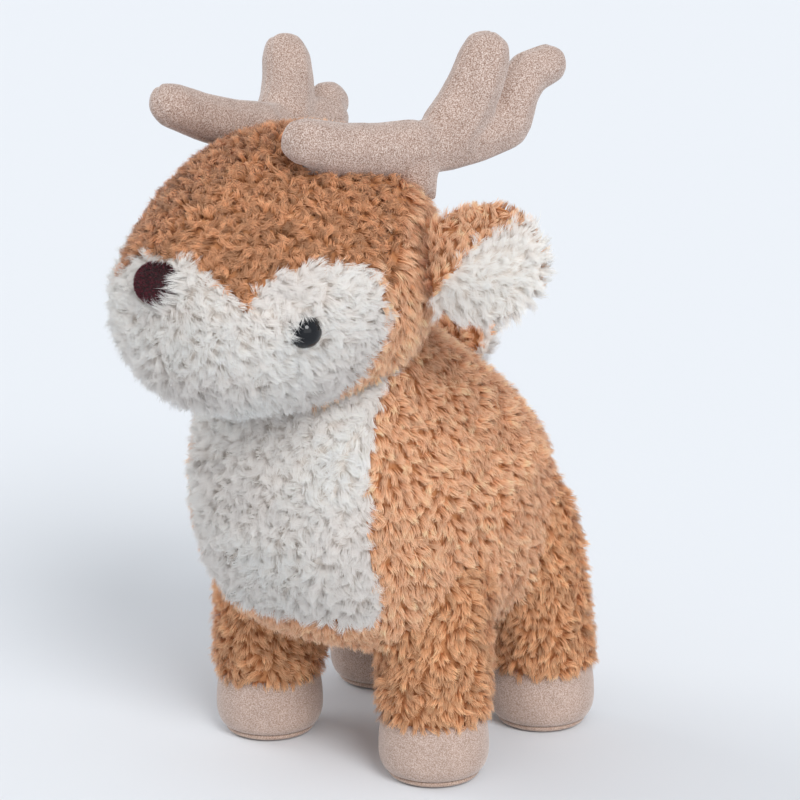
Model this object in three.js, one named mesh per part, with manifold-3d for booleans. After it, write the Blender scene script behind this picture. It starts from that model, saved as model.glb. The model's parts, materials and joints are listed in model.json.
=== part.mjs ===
// Plush deer standing on four boot-shaped hooves. It is sewn from pile panels round a fibre filling.
// The ears and the tail are flat flaps that bend where they are sewn on.
// Millimetres, +Z up. The deer faces -Y, its left side is +X, and it stands on Z = 0.

import * as THREE from 'three';
import { mergeVertices } from 'three/addons/utils/BufferGeometryUtils.js';
import Module from 'manifold-3d';

const wasm = await Module();
wasm.setup();

// Cloth, filling and the room between them.
const seamGap = 0.3;
const pileDepth = 6;
const suedeDepth = 2;
const overrun = 60;
const mergeTolerance = 1e-4;

// Where the legs stand. The origin is under the middle of the overall box: ahead of the legs, and a little to
// their left, because the left ear reaches further out.
const stance = {
  aside: 5.1,
  setback: 42,
  width: 80,
  length: 72,
};

// The body, with its reaches measured from the middle of the legs.
const body = {
  bottom: 45,
  top: 196,
  halfWidth: 62,
  frontReach: 95,
  rearReach: 58,
  squareness: 2.3,
};
// Rings up the body: height, half width, reach to the front, reach to the rear.
const bodyRingShares = [
  [0, 0, 0, 0],
  [0.02, 0.5, 0.5, 0.5],
  [0.06, 0.74, 0.7, 0.62],
  [0.14, 0.9, 0.84, 0.8],
  [0.265, 0.98, 0.95, 0.92],
  [0.417, 1, 1, 0.96],
  [0.563, 0.93, 0.99, 0.72],
  [0.695, 0.79, 0.94, 0.3],
  [0.815, 0.62, 0.87, -0.16],
  [0.92, 0.46, 0.78, -0.52],
  [0.973, 0.3, 0.7, -0.76],
  [1, 0, 0.6, -0.983],
];

// The bib on the chest and the panel under the belly.
const bib = {
  bottom: 66,
  topHalfWidth: 34,
  halfWidth: 41.5,
  widestHeight: 112,
  bottomHalfWidth: 30,
  cornerRise: 16,
};
const bellyHalfWidth = 26;

// Legs, from the seam on the hoof up to a round end inside the body.
const leg = {
  radius: 23,
  top: 112,
  frontLean: 2,
  hindLean: -16,
};
// Rings up a leg: height, radius.
const legRingShares = [
  [0, 0.98],
  [0.12, 1],
  [0.3, 0.98],
  [0.5, 0.97],
  [0.7, 0.93],
  [0.86, 0.78],
  [0.96, 0.45],
  [1, 0],
];

// Hooves: a boot of suede with a sole disc that bulges a little and is cut flat where it stands.
const hoof = {
  height: 23,
  topRadius: 20,
  radius: 21.5,
  soleRadius: 17.5,
  seamHeight: 3,
  flatDepth: 0.5,
};

// The head, in its own frame: forward is -Y, and the reaches are from its middle.
const head = {
  ahead: 80,
  height: 197,
  pitch: THREE.MathUtils.degToRad(6),
  turn: THREE.MathUtils.degToRad(3),
  backReach: 54,
  frontReach: 60,
  halfWidth: 57,
  rise: 53,
  drop: 51,
  squareness: 2.05,
  browTaperShare: 0.3,
};
// Rings from the back of the head to the muzzle: place along it, half width, rise above the middle and drop below.
const headRingShares = [
  [0, 0, 0.05, -0.05],
  [0.025, 0.45, 0.56, 0.4],
  [0.09, 0.77, 0.83, 0.7],
  [0.22, 0.97, 0.98, 0.9],
  [0.4, 1.01, 1, 0.98],
  [0.56, 0.98, 0.93, 1],
  [0.7, 0.86, 0.78, 0.99],
  [0.82, 0.7, 0.6, 0.92],
  [0.91, 0.54, 0.42, 0.78],
  [0.97, 0.36, 0.22, 0.56],
  [1, 0, -0.14, 0.14],
];

// The white face: its pointed upper edge seen from the front, and where it ends on the cheeks.
const face = {
  noseTop: 8.5,
  noseHalfWidth: 17,
  tipOut: 32,
  tipHeight: -8,
  eyeTop: 9.5,
  eyeInnerOut: 34,
  eyeOuterOut: 46,
  eyeCorner: 14,
  cheekBack: 14,
  cheekHeight: -10,
  jawBack: 28,
  eyeBack: 5,
};

// Eyes and nose are domes on a stem that a washer locks behind the cloth. They sit on a ring of the head,
// turned up from its left side.
const eye = {
  radius: 6,
  rise: 3.6,
  sink: 2.4,
  stemRadius: 2,
  washerRadius: 8,
  ringShare: 0.635,
  turnUp: THREE.MathUtils.degToRad(-11),
};
const nose = {
  radius: 7.4,
  widthShare: 1.25,
  rise: 4.6,
  sink: 2.4,
  stemRadius: 2.5,
  washerRadius: 9,
  ringShare: 0.965,
  turnUp: THREE.MathUtils.degToRad(90),
};
const washerThickness = 1.6;
const stemBeyondWasher = 2.5;

// Ears: a tan back and a white front, sewn to the side of the head by an upright edge. The right one is folded
// further back.
const ear = {
  length: 40,
  halfHeight: 22,
  halfThickness: 6,
  cup: 13,
  ringShare: 0.36,
  turnUpLeft: THREE.MathUtils.degToRad(5),
  turnUpRight: THREE.MathUtils.degToRad(-2),
  sweepLeft: THREE.MathUtils.degToRad(28),
  sweepRight: THREE.MathUtils.degToRad(52),
  lift: THREE.MathUtils.degToRad(11),
};
// Rings from the root to the tip: place along the ear, half height, half thickness.
const earRingShares = [
  [0, 0.78, 0.7],
  [0.18, 0.92, 0.96],
  [0.42, 1, 1],
  [0.66, 0.96, 0.9],
  [0.84, 0.76, 0.72],
  [0.95, 0.4, 0.5],
  [1, 0, 0],
];

// The tail stands up on the rump: tan towards the head, white behind.
const tail = {
  length: 30,
  halfHeight: 15.5,
  halfThickness: 8,
  cup: 0,
  ringShare: 0.583,
  lean: THREE.MathUtils.degToRad(16),
};
// Rings from the root to the tip: place along the tail, half width, half thickness.
const tailRingShares = [
  [0, 0.78, 0.45],
  [0.2, 0.94, 0.88],
  [0.5, 1, 1],
  [0.76, 0.84, 0.84],
  [0.93, 0.46, 0.5],
  [1, 0, 0],
];

// Antlers lie flat in their own Y-Z plane, with forward as -Y. The whole plane is turned on the head: splayed
// outwards, toed in to the front and leaned forwards. Sewn by hand, the two sides differ.
const antler = {
  radius: 10,
  flatShare: 0.88,
  reach: 66,
  rise: 45,
  ringShare: 0.25,
  turnUp: THREE.MathUtils.degToRad(45),
  toeIn: THREE.MathUtils.degToRad(8),
  splayLeft: THREE.MathUtils.degToRad(5),
  splayRight: THREE.MathUtils.degToRad(28),
  leanLeft: THREE.MathUtils.degToRad(-5),
  leanRight: THREE.MathUtils.degToRad(4),
};
// Branches: start, bend and end (forward and up), then the radius at the start and at the end. They are the
// stem, the front tine, the palm, the tall tine and the rear tine, which runs only part of the way on the right.
const antlerBranchShares = [
  { start: [0.08, -0.35], bend: [0.08, -0.1], end: [0.06, 0.2], radii: [1.05, 1] },
  { start: [0.06, 0.24], bend: [0.45, 0.24], end: [0.84, 0.4], radii: [1.06, 0.84] },
  { start: [0, 0.24], bend: [-0.3, 0.22], end: [-0.6, 0.35], radii: [1, 1.02] },
  { start: [-0.19, 0.33], bend: [-0.36, 0.6], end: [-0.42, 0.92], radii: [1.18, 1] },
  { start: [-0.62, 0.36], bend: [-0.67, 0.8], end: [-0.9, 0.8], radii: [1, 0.8], rightShare: 0.4 },
];

// A flap's root is rounded about its edge, so that it turns clear of the form: how far its lip reaches back, and
// how thick it is there, as shares of the root's radius.
const lipShares = { depth: 0.87, thickness: 0.49 };

// How finely the forms are divided.
const bodySides = 24;
const bodyRings = 12;
const headSides = 22;
const headRings = 12;
const legSides = 12;
const legRings = 6;
const fillSides = 12;
const fillRings = 7;
const hoofSteps = 3;
const flapSides = 10;
const flapRings = 7;
const antlerSides = 8;
const antlerFillSides = 6;
const branchSteps = 3;
const domeStepShare = 0.64;
const buttonSides = 12;
const domeSteps = 3;
const outlineSteps = 5;

// Colours and finishes.
const finish = (color, roughness) => new THREE.MeshStandardMaterial({ color, roughness, metalness: 0 });
const tanPile = finish(0xcf935c, 0.95);
const whitePile = finish(0xe9e3da, 0.95);
const suede = finish(0xd8c0b0, 0.9);
const fibre = finish(0xf2f1ec, 1);
const flock = finish(0x3a1a1e, 0.85);
const gloss = finish(0x14161a, 0.12);
const nylon = finish(0xf4f4f2, 0.5);

// Geometry to solid and back.
function toSolid(geometry, matrix = new THREE.Matrix4()) {
  const bare = new THREE.BufferGeometry();
  bare.setAttribute('position', geometry.getAttribute('position').clone());
  if (geometry.index) bare.setIndex(geometry.index.clone());
  const merged = mergeVertices(bare.applyMatrix4(matrix), mergeTolerance);
  const vertProperties = new Float32Array(merged.getAttribute('position').array);
  const triVerts = new Uint32Array(merged.index.array);
  return new wasm.Manifold(new wasm.Mesh({ numProp: 3, vertProperties, triVerts }));
}

function toGeometry(solid) {
  const mesh = solid.getMesh();
  const geometry = new THREE.BufferGeometry();
  geometry.setAttribute('position', new THREE.BufferAttribute(new Float32Array(mesh.vertProperties), 3));
  geometry.setIndex(Array.from(mesh.triVerts));
  return geometry;
}

// A smooth row between the rows of a table, at t from 0 to 1 along it.
function rowAt(rows, t) {
  const place = t * (rows.length - 1);
  const at = Math.min(Math.floor(place), rows.length - 2);
  const x = place - at;
  const before = rows[Math.max(at - 1, 0)];
  const after = rows[Math.min(at + 2, rows.length - 1)];
  return rows[at].map((a, k) => {
    const b = rows[at + 1][k];
    const fromA = (2 * x ** 3 - 3 * x ** 2 + 1) * a + (x ** 3 - 2 * x ** 2 + x) * (b - before[k]) / 2;
    const toB = (3 * x ** 2 - 2 * x ** 3) * b + (x ** 3 - x ** 2) * (after[k] - a) / 2;
    return fromA + toB;
  });
}

// A closed skin through rings of points. An end ring that has shrunk to a point closes there. Others are capped.
function loft(pointAt, rings, sides) {
  const ringAt = (t) => Array.from({ length: sides }, (_, k) => pointAt(t, k / sides));
  const middle = (ring) => ring.reduce((sum, p) => sum.add(p), new THREE.Vector3()).divideScalar(sides);
  const ends = [ringAt(0), ringAt(1)];
  const [closesBelow, closesAbove] = ends.map((ring) => ring[0].distanceTo(middle(ring)) < mergeTolerance);
  const kept = [];
  for (let r = closesBelow ? 1 : 0; r <= (closesAbove ? rings - 1 : rings); r++) kept.push(ringAt(r / rings));
  const points = [middle(ends[0]), ...kept.flat(), middle(ends[1])];
  const index = [];
  const top = 1 + (kept.length - 1) * sides;
  for (let k = 0; k < sides; k++) {
    const next = (k + 1) % sides;
    index.push(0, 1 + next, 1 + k);
    for (let a = 1; a < top; a += sides) {
      const b = a + sides;
      index.push(a + k, a + next, b + next, a + k, b + next, b + k);
    }
    index.push(points.length - 1, top + k, top + next);
  }
  return new THREE.BufferGeometry().setFromPoints(points).setIndex(index);
}

// The same closed skin, moved in by a depth, or out where the depth is below zero.
function inset(geometry, depth) {
  const moved = geometry.clone();
  moved.computeVertexNormals();
  const points = moved.getAttribute('position');
  const normals = moved.getAttribute('normal');
  const point = new THREE.Vector3();
  const normal = new THREE.Vector3();
  for (let i = 0; i < points.count; i++) {
    point.fromBufferAttribute(points, i);
    point.addScaledVector(normal.fromBufferAttribute(normals, i), -depth);
    points.setXYZ(i, point.x, point.y, point.z);
  }
  return moved;
}

// The room that a cutting solid takes with the seam around it.
const withSeam = (solid) => toSolid(inset(toGeometry(solid), -seamGap));

// A ring of a form with rounded-square sections, as shares of its half width and half height.
function roundedSquare(turnShare, squareness) {
  const angle = 2 * Math.PI * turnShare;
  const bulge = (value) => Math.sign(value) * Math.abs(value) ** (2 / squareness);
  return [bulge(Math.cos(angle)), bulge(Math.sin(angle))];
}

// A place on a lofted form: its Z axis points straight out of the form and its X axis lies level.
function placeOn(pointAt, ringShare, turnShare) {
  const step = 0.01;
  const point = pointAt(ringShare, turnShare);
  const along = pointAt(ringShare + step, turnShare).sub(pointAt(ringShare - step, turnShare));
  const around = pointAt(ringShare, turnShare + step).sub(pointAt(ringShare, turnShare - step));
  const out = around.cross(along).normalize();
  const level = new THREE.Vector3(-out.y, out.x, 0).normalize();
  return new THREE.Matrix4().makeBasis(level, out.clone().cross(level), out).setPosition(point);
}

function box(low, high) {
  const size = high.clone().sub(low);
  const middle = low.clone().addScaledVector(size, 0.5);
  return toSolid(new THREE.BoxGeometry(size.x, size.y, size.z).translate(middle.x, middle.y, middle.z));
}

// A flat outline carried through the part. From the front it lies in X and Z, from the side in Y and Z.
function prism(shape, depth, basis) {
  const settings = { depth, bevelEnabled: false, curveSegments: outlineSteps };
  return toSolid(new THREE.ExtrudeGeometry(shape, settings), basis);
}
const axes = (x, y, z) => new THREE.Matrix4().makeBasis(
  new THREE.Vector3(...x), new THREE.Vector3(...y), new THREE.Vector3(...z),
);
const fromFront = axes([1, 0, 0], [0, 0, 1], [0, -1, 0]);
const fromSide = axes([0, 1, 0], [0, 0, 1], [1, 0, 0]);

// A turned piece about +Z, from a profile of radius and height that starts low and ends high.
function turned(profile, sides, matrix = new THREE.Matrix4()) {
  const upright = new THREE.Matrix4().makeRotationX(Math.PI / 2);
  const points = profile.map(([radius, height]) => new THREE.Vector2(radius, height));
  return toSolid(new THREE.LatheGeometry(points, sides), matrix.clone().multiply(upright));
}

// Everything on one side of the middle plane, less half of the seam there.
const farEdge = 6 * overrun;
const half = (sign) => box(
  new THREE.Vector3(sign > 0 ? seamGap / 2 : -farEdge, -farEdge, -farEdge),
  new THREE.Vector3(sign > 0 ? farEdge : -seamGap / 2, farEdge, farEdge),
);
const sides = [
  { side: 'left', sign: 1, half: half(1) },
  { side: 'right', sign: -1, half: half(-1) },
];

function group(parent) {
  const made = new THREE.Group();
  parent.add(made);
  return made;
}

function piece(parent, name, solid, material) {
  const mesh = new THREE.Mesh(toGeometry(solid), material);
  mesh.name = name;
  parent.add(mesh);
  return mesh;
}

const deer = new THREE.Group();
const stand = group(deer);
stand.position.set(-stance.aside, stance.setback, 0);

// The body's forms.
function bodyPoint(t, turnShare) {
  const [height, width, front, rear] = rowAt(bodyRingShares, t);
  const [across, along] = roundedSquare(turnShare, body.squareness);
  const frontY = -front * body.frontReach;
  const rearY = rear * body.rearReach;
  return new THREE.Vector3(
    width * body.halfWidth * across,
    (frontY + rearY) / 2 + along * (rearY - frontY) / 2,
    body.bottom + height * (body.top - body.bottom),
  );
}
const bodyForm = loft(bodyPoint, bodyRings, bodySides);
const bodyFillForm = loft(bodyPoint, fillRings, fillSides);
const bodyRoomForm = inset(bodyForm, -seamGap);
const bodyRoom = toSolid(bodyRoomForm);

// A leg column about its own axis, drawn in by a depth, with its foot at any height. It leans evenly.
function legColumn(lean, depth, columnSides, foot) {
  return loft((t, turnShare) => {
    const [up, radiusShare] = rowAt(legRingShares, t);
    const radius = Math.max(radiusShare * leg.radius - depth, 0);
    const height = t > 0 ? hoof.height + up * (leg.top - depth - hoof.height) : foot;
    const shift = lean * (height - hoof.height) / (leg.top - hoof.height);
    const angle = 2 * Math.PI * turnShare;
    return new THREE.Vector3(radius * Math.cos(angle), radius * Math.sin(angle) + shift, height);
  }, legRings, columnSides);
}
const legForms = (lean) => ({
  sleeveForm: legColumn(lean, 0, legSides, hoof.height + seamGap),
  hollowForm: legColumn(lean, pileDepth, fillSides, -overrun),
  fillingForm: legColumn(lean, pileDepth + seamGap, fillSides, hoof.height - suedeDepth),
});

// The boot's wall in section, from the seam on the sole up to the seam on the sleeve, drawn in by a depth.
function bootWall(depth) {
  const { height, topRadius, radius, soleRadius, seamHeight } = hoof;
  const curve = new THREE.CubicBezierCurve(
    new THREE.Vector2(soleRadius - depth, seamHeight), new THREE.Vector2(radius - depth, seamHeight),
    new THREE.Vector2(radius - depth, height / 2), new THREE.Vector2(topRadius - depth, height),
  );
  return curve.getPoints(hoofSteps).map((point) => [point.x, point.y]);
}

function hoofBoot() {
  const outer = bootWall(0);
  const inner = bootWall(suedeDepth).reverse();
  return turned([...outer, ...inner, outer[0]], legSides);
}

// The sole, crowned below by the filling and cut flat where the deer stands.
function hoofSole() {
  const { soleRadius, seamHeight, flatDepth } = hoof;
  const edge = seamHeight - seamGap;
  const crown = new THREE.QuadraticBezierCurve(
    new THREE.Vector2(0, -flatDepth),
    new THREE.Vector2(soleRadius, -flatDepth),
    new THREE.Vector2(soleRadius, edge),
  ).getPoints(hoofSteps).map((point) => [point.x, point.y]);
  const ground = box(new THREE.Vector3(-overrun, -overrun, -overrun), new THREE.Vector3(overrun, overrun, 0));
  return turned([...crown, [0, edge]], legSides).subtract(ground);
}

function hoofFilling() {
  const wall = bootWall(suedeDepth + seamGap);
  return turned([[0, hoof.seamHeight], ...wall, [0, hoof.height]], fillSides);
}

const legs = [];
for (const [end, alongSign, lean] of [['front', -1, leg.frontLean], ['hind', 1, leg.hindLean]]) {
  for (const { side, sign } of sides) {
    const place = new THREE.Vector3(sign * stance.width / 2, alongSign * stance.length / 2, 0);
    const inBody = new THREE.Matrix4().setPosition(place);
    legs.push({ name: `leg_${end}_${side}`, place, inBody, ...legForms(lean) });
  }
}

// The outline of the bib, seen from the front. Its top is under the chin.
function bibOutline() {
  const { bottom, topHalfWidth, halfWidth, widestHeight, bottomHalfWidth, cornerRise } = bib;
  const shape = new THREE.Shape();
  shape.moveTo(-bottomHalfWidth, bottom);
  shape.lineTo(bottomHalfWidth, bottom);
  shape.quadraticCurveTo(halfWidth, bottom, halfWidth, bottom + cornerRise);
  shape.lineTo(halfWidth, widestHeight);
  shape.quadraticCurveTo(halfWidth, (widestHeight + body.top) / 2, topHalfWidth, body.top);
  shape.lineTo(topHalfWidth, body.top + overrun);
  shape.lineTo(-topHalfWidth, body.top + overrun);
  shape.lineTo(-topHalfWidth, body.top);
  shape.quadraticCurveTo(-halfWidth, (widestHeight + body.top) / 2, -halfWidth, widestHeight);
  shape.lineTo(-halfWidth, bottom + cornerRise);
  shape.quadraticCurveTo(-halfWidth, bottom, -bottomHalfWidth, bottom);
  return shape;
}

// Body panels. The filling of the legs passes through holes in them.
function buildBody() {
  const frontHalf = new THREE.Matrix4().setPosition(0, -body.frontReach / 2, 0);
  const bibCut = prism(bibOutline(), body.frontReach + overrun, frontHalf.multiply(fromFront));
  const bellyCut = box(
    new THREE.Vector3(-bellyHalfWidth, -body.frontReach - overrun, -overrun),
    new THREE.Vector3(bellyHalfWidth, body.rearReach / 2, bib.bottom - seamGap),
  );
  let skin = toSolid(bodyForm).subtract(toSolid(inset(bodyFillForm, pileDepth)));
  for (const { inBody, hollowForm } of legs) skin = skin.subtract(toSolid(hollowForm, inBody));
  piece(stand, 'chest_bib', skin.intersect(bibCut), whitePile);
  piece(stand, 'belly_panel', skin.intersect(bellyCut), tanPile);
  const flanks = skin.subtract(withSeam(bibCut)).subtract(withSeam(bellyCut));
  for (const { side, half: sideHalf } of sides) {
    piece(stand, `body_side_${side}`, flanks.intersect(sideHalf), tanPile);
  }
  let filling = toSolid(inset(bodyFillForm, pileDepth + seamGap));
  for (const { inBody, fillingForm } of legs) {
    const stuffedLeg = toGeometry(toSolid(fillingForm).add(hoofFilling()));
    filling = filling.add(toSolid(stuffedLeg, inBody));
  }
  piece(stand, 'body_filling', filling, fibre);
}

// Legs: a sleeve of pile, a boot of suede and a sole.
function buildLegs() {
  const boot = hoofBoot();
  const sole = hoofSole();
  for (const { name, place, inBody, sleeveForm, hollowForm } of legs) {
    const bodyFromLeg = inBody.clone().invert();
    const bodyRoomHere = toSolid(bodyRoomForm, bodyFromLeg);
    const sleeve = toSolid(sleeveForm).subtract(toSolid(hollowForm)).subtract(bodyRoomHere);
    const made = group(stand);
    made.position.copy(place);
    piece(made, `${name}_sleeve`, sleeve, tanPile);
    piece(made, `${name}_hoof`, boot, suede);
    piece(made, `${name}_sole`, sole, suede);
  }
}

// The head's forms, in its own frame. Above its middle it narrows, more so towards the brow.
function headPoint(t, turnShare) {
  const [along, width, rise, drop] = rowAt(headRingShares, t);
  const [across, up] = roundedSquare(turnShare, head.squareness);
  const top = rise * head.rise;
  const low = -drop * head.drop;
  const narrowing = 1 - head.browTaperShare * along * Math.max(up, 0);
  return new THREE.Vector3(
    width * head.halfWidth * across * narrowing,
    head.backReach - along * (head.backReach + head.frontReach),
    (top + low) / 2 + up * (top - low) / 2,
  );
}
const headForm = loft(headPoint, headRings, headSides);
const headFillForm = loft(headPoint, fillRings, fillSides);
const headRoomForm = inset(headForm, -seamGap);
const headGroup = group(stand);
headGroup.position.set(0, -head.ahead, head.height);
headGroup.rotation.set(-head.pitch, 0, -head.turn, 'ZXY');
headGroup.updateMatrix();

// The white of the face from the front: up round the nose, down to a point on each side, up round the eyes.
function faceFrontOutline() {
  const { noseTop, noseHalfWidth, tipOut, tipHeight, eyeTop, eyeInnerOut, eyeOuterOut } = face;
  const low = -head.drop - overrun;
  const wide = head.halfWidth + overrun;
  const shape = new THREE.Shape();
  shape.moveTo(-wide, low);
  shape.lineTo(wide, low);
  shape.lineTo(wide, eyeTop);
  shape.lineTo(eyeOuterOut, eyeTop);
  shape.quadraticCurveTo(eyeInnerOut, eyeTop, tipOut, tipHeight);
  shape.quadraticCurveTo(noseHalfWidth, noseTop, 0, noseTop);
  shape.quadraticCurveTo(-noseHalfWidth, noseTop, -tipOut, tipHeight);
  shape.quadraticCurveTo(-eyeInnerOut, eyeTop, -eyeOuterOut, eyeTop);
  shape.lineTo(-wide, eyeTop);
  return shape;
}

// The white of the face from the side: it ends on the cheek, further back at the jaw, and is round at the top.
function faceSideOutline() {
  const { eyeTop, eyeBack, eyeCorner, cheekBack, cheekHeight, jawBack } = face;
  const low = -head.drop - overrun;
  const ahead = -head.frontReach - overrun;
  const shape = new THREE.Shape();
  shape.moveTo(ahead, low);
  shape.lineTo(jawBack, low);
  shape.lineTo(jawBack, -head.drop / 2);
  shape.quadraticCurveTo(cheekBack, cheekHeight, -eyeBack, eyeTop - eyeCorner);
  shape.quadraticCurveTo(-eyeBack, eyeTop, -eyeBack - eyeCorner, eyeTop);
  shape.lineTo(-eyeBack - eyeCorner, eyeTop + overrun);
  shape.lineTo(ahead, eyeTop + overrun);
  return shape;
}

// A dome on a stem, its washer and the room that both take in the cloth and the filling behind it.
function studProfiles({ radius, rise, sink, stemRadius, washerRadius }) {
  const washerTop = -pileDepth - seamGap;
  const washerLow = washerTop - washerThickness;
  const stemEnd = washerLow - stemBeyondWasher;
  const arc = Array.from({ length: domeSteps }, (_, k) => {
    const angle = (k / domeSteps) * Math.PI / 2;
    return [radius * Math.cos(angle), -sink + (rise + sink) * Math.sin(angle)];
  });
  const stud = [[0, stemEnd], [stemRadius, stemEnd], [stemRadius, -sink], ...arc, [0, rise]];
  const hole = stemRadius + seamGap;
  const washer = [[hole, washerLow], [washerRadius, washerLow], [washerRadius, washerTop], [hole, washerTop]];
  const wide = washerRadius + seamGap;
  const room = [
    [0, stemEnd - seamGap], [wide, stemEnd - seamGap],
    [wide, washerTop + seamGap], [hole, washerTop + seamGap],
    [hole, -sink - seamGap], [radius + seamGap, -sink - seamGap],
    [radius + seamGap, overrun], [0, overrun],
  ];
  return { stud, washer: [...washer, washer[0]], room };
}

// Where a stud sits on the head, with its own width.
function studPlace({ ringShare, turnUp, widthShare = 1 }, sign = 1) {
  const turnShare = (sign > 0 ? turnUp : Math.PI - turnUp) / (2 * Math.PI);
  return placeOn(headPoint, ringShare, turnShare).scale(new THREE.Vector3(widthShare, 1, 1));
}

function buildHead() {
  const bodyFromHead = headGroup.matrix.clone().invert();
  const neck = toSolid(bodyRoomForm, bodyFromHead);
  let skin = toSolid(headForm).subtract(toSolid(inset(headFillForm, pileDepth))).subtract(neck);
  let filling = toSolid(inset(headFillForm, pileDepth + seamGap)).subtract(neck);
  const studs = [
    { name: 'nose', size: nose, place: studPlace(nose), material: flock },
    ...sides.map(({ side, sign }) => (
      { name: `eye_${side}`, size: eye, place: studPlace(eye, sign), material: gloss }
    )),
  ];
  for (const { name, size, place, material } of studs) {
    const { stud, washer, room } = studProfiles(size);
    piece(headGroup, name, turned(stud, buttonSides, place), material);
    piece(headGroup, `${name}_washer`, turned(washer, buttonSides, place), nylon);
    skin = skin.subtract(turned(room, buttonSides, place));
    filling = filling.subtract(turned(room, buttonSides, place));
  }
  const throughWidth = new THREE.Matrix4().setPosition(-farEdge, 0, 0);
  const faceCut = prism(faceFrontOutline(), farEdge, fromFront)
    .intersect(prism(faceSideOutline(), 2 * farEdge, throughWidth.multiply(fromSide)));
  const crown = skin.subtract(withSeam(faceCut));
  const white = skin.intersect(faceCut);
  for (const { side, half: sideHalf } of sides) {
    piece(headGroup, `face_${side}`, white.intersect(sideHalf), whitePile);
    piece(headGroup, `crown_${side}`, crown.intersect(sideHalf), tanPile);
  }
  piece(headGroup, 'head_filling', filling, fibre);
}

// The same closed skin with its faces turned over, for one that has been mirrored.
const turnedOver = (geometry) => geometry.clone().setIndex(Array.from(geometry.index.array).reverse());

// One cloth of a flap. The root edge is the Z axis, the flap runs along +X or -X, and its front faces -Y. It
// cups more towards the tip. Both cloths have the same points where they meet, a seam apart.
function flapLayer(size, rows, toBack, outwards) {
  const { length, halfHeight, halfThickness, cup } = size;
  const rootHeight = rows[0][1] * halfHeight;
  const rootRadius = rows[0][2] * halfThickness;
  const skin = loft((t, turnShare) => {
    const ring = Math.round(t * flapRings);
    const [along, height, thickness] = rowAt(rows, Math.max(ring - 1, 0) / (flapRings - 1));
    const isLip = ring === 0;
    const tall = isLip ? rootHeight : height * halfHeight;
    const thick = isLip ? rootRadius * lipShares.thickness : thickness * halfThickness;
    const out = isLip ? -rootRadius * lipShares.depth : along * length;
    const angle = 2 * Math.PI * turnShare;
    const z = -tall * Math.cos(angle);
    const bulge = turnShare >= 0.5 ? 0 : thick * Math.sin(angle);
    const bend = isLip ? 0 : along * cup * (z / halfHeight) ** 2;
    return new THREE.Vector3(outwards * out, toBack * (bulge + seamGap / 2) - bend, z);
  }, flapRings, flapSides);
  return toSolid(toBack === outwards ? skin : turnedOver(skin));
}

function buildFlap(parent, size, rows, names, outwards = 1) {
  piece(parent, names.back, flapLayer(size, rows, 1, outwards), tanPile);
  piece(parent, names.front, flapLayer(size, rows, -1, outwards), whitePile);
}

// The root edge's middle stands off the form by its own half thickness and a seam.
function flapRoot(place, size, rows) {
  const out = new THREE.Vector3().setFromMatrixColumn(place, 2);
  const point = new THREE.Vector3().setFromMatrixPosition(place);
  return point.addScaledVector(out, rows[0][2] * size.halfThickness + seamGap);
}

function buildEars() {
  for (const { side, sign } of sides) {
    const turnShare = (sign > 0 ? ear.turnUpLeft : Math.PI - ear.turnUpRight) / (2 * Math.PI);
    const made = group(headGroup);
    made.position.copy(flapRoot(placeOn(headPoint, ear.ringShare, turnShare), ear, earRingShares));
    const sweep = sign > 0 ? ear.sweepLeft : ear.sweepRight;
    made.rotation.set(0, -sign * ear.lift, sign * sweep, 'YZX');
    buildFlap(made, ear, earRingShares, { back: `ear_${side}_back`, front: `ear_${side}_front` }, sign);
  }
}

function buildTail() {
  const place = placeOn(bodyPoint, tail.ringShare, 0.25);
  const made = group(stand);
  made.position.copy(flapRoot(place, tail, tailRingShares));
  const up = new THREE.Vector3(0, Math.sin(tail.lean), Math.cos(tail.lean));
  const across = new THREE.Vector3(1, 0, 0);
  made.setRotationFromMatrix(new THREE.Matrix4().makeBasis(up, across.clone().cross(up), across));
  buildFlap(made, tail, tailRingShares, { back: 'tail_top', front: 'tail_under' });
}

// One branch of an antler: a round tube that tapers along a bent line between two domes, drawn in by a depth.
function branchForm({ start, bend, end, radii, rightShare = 1 }, sign, depth, branchSides) {
  const at = ([forward, up]) => new THREE.Vector3(0, -forward * antler.reach, up * antler.rise);
  const reached = (to) => at(start).lerp(at(to), sign > 0 ? 1 : rightShare);
  const curve = new THREE.QuadraticBezierCurve3(at(start), reached(bend), reached(end));
  const [first, last] = radii.map((share) => share * antler.radius - depth);
  const ring = (t, radius, beyond) => {
    const tangent = curve.getTangent(t);
    return { middle: curve.getPoint(t).addScaledVector(tangent, beyond), tangent, radius };
  };
  const domes = depth > 0 ? [1] : [1, domeStepShare];
  const rings = [
    ...domes.map((far) => ring(0, first * Math.sqrt(1 - far ** 2), -first * far)),
    ...Array.from({ length: branchSteps + 1 }, (_, k) => k / branchSteps)
      .map((t) => ring(t, THREE.MathUtils.lerp(first, last, t), 0)),
    ...domes.toReversed().map((far) => ring(1, last * Math.sqrt(1 - far ** 2), last * far)),
  ];
  const across = new THREE.Vector3(1, 0, 0);
  return loft((t, turnShare) => {
    const { middle, tangent, radius } = rings[Math.round(t * (rings.length - 1))];
    const angle = 2 * Math.PI * turnShare;
    return middle.clone().addScaledVector(across, radius * antler.flatShare * Math.cos(angle))
      .addScaledVector(tangent.clone().cross(across), radius * Math.sin(angle));
  }, rings.length - 1, branchSides);
}

function antlerForm(sign, depth, branchSides) {
  const branches = antlerBranchShares.map((branch) => toSolid(branchForm(branch, sign, depth, branchSides)));
  return branches.reduce((whole, branch) => whole.add(branch));
}

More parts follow.
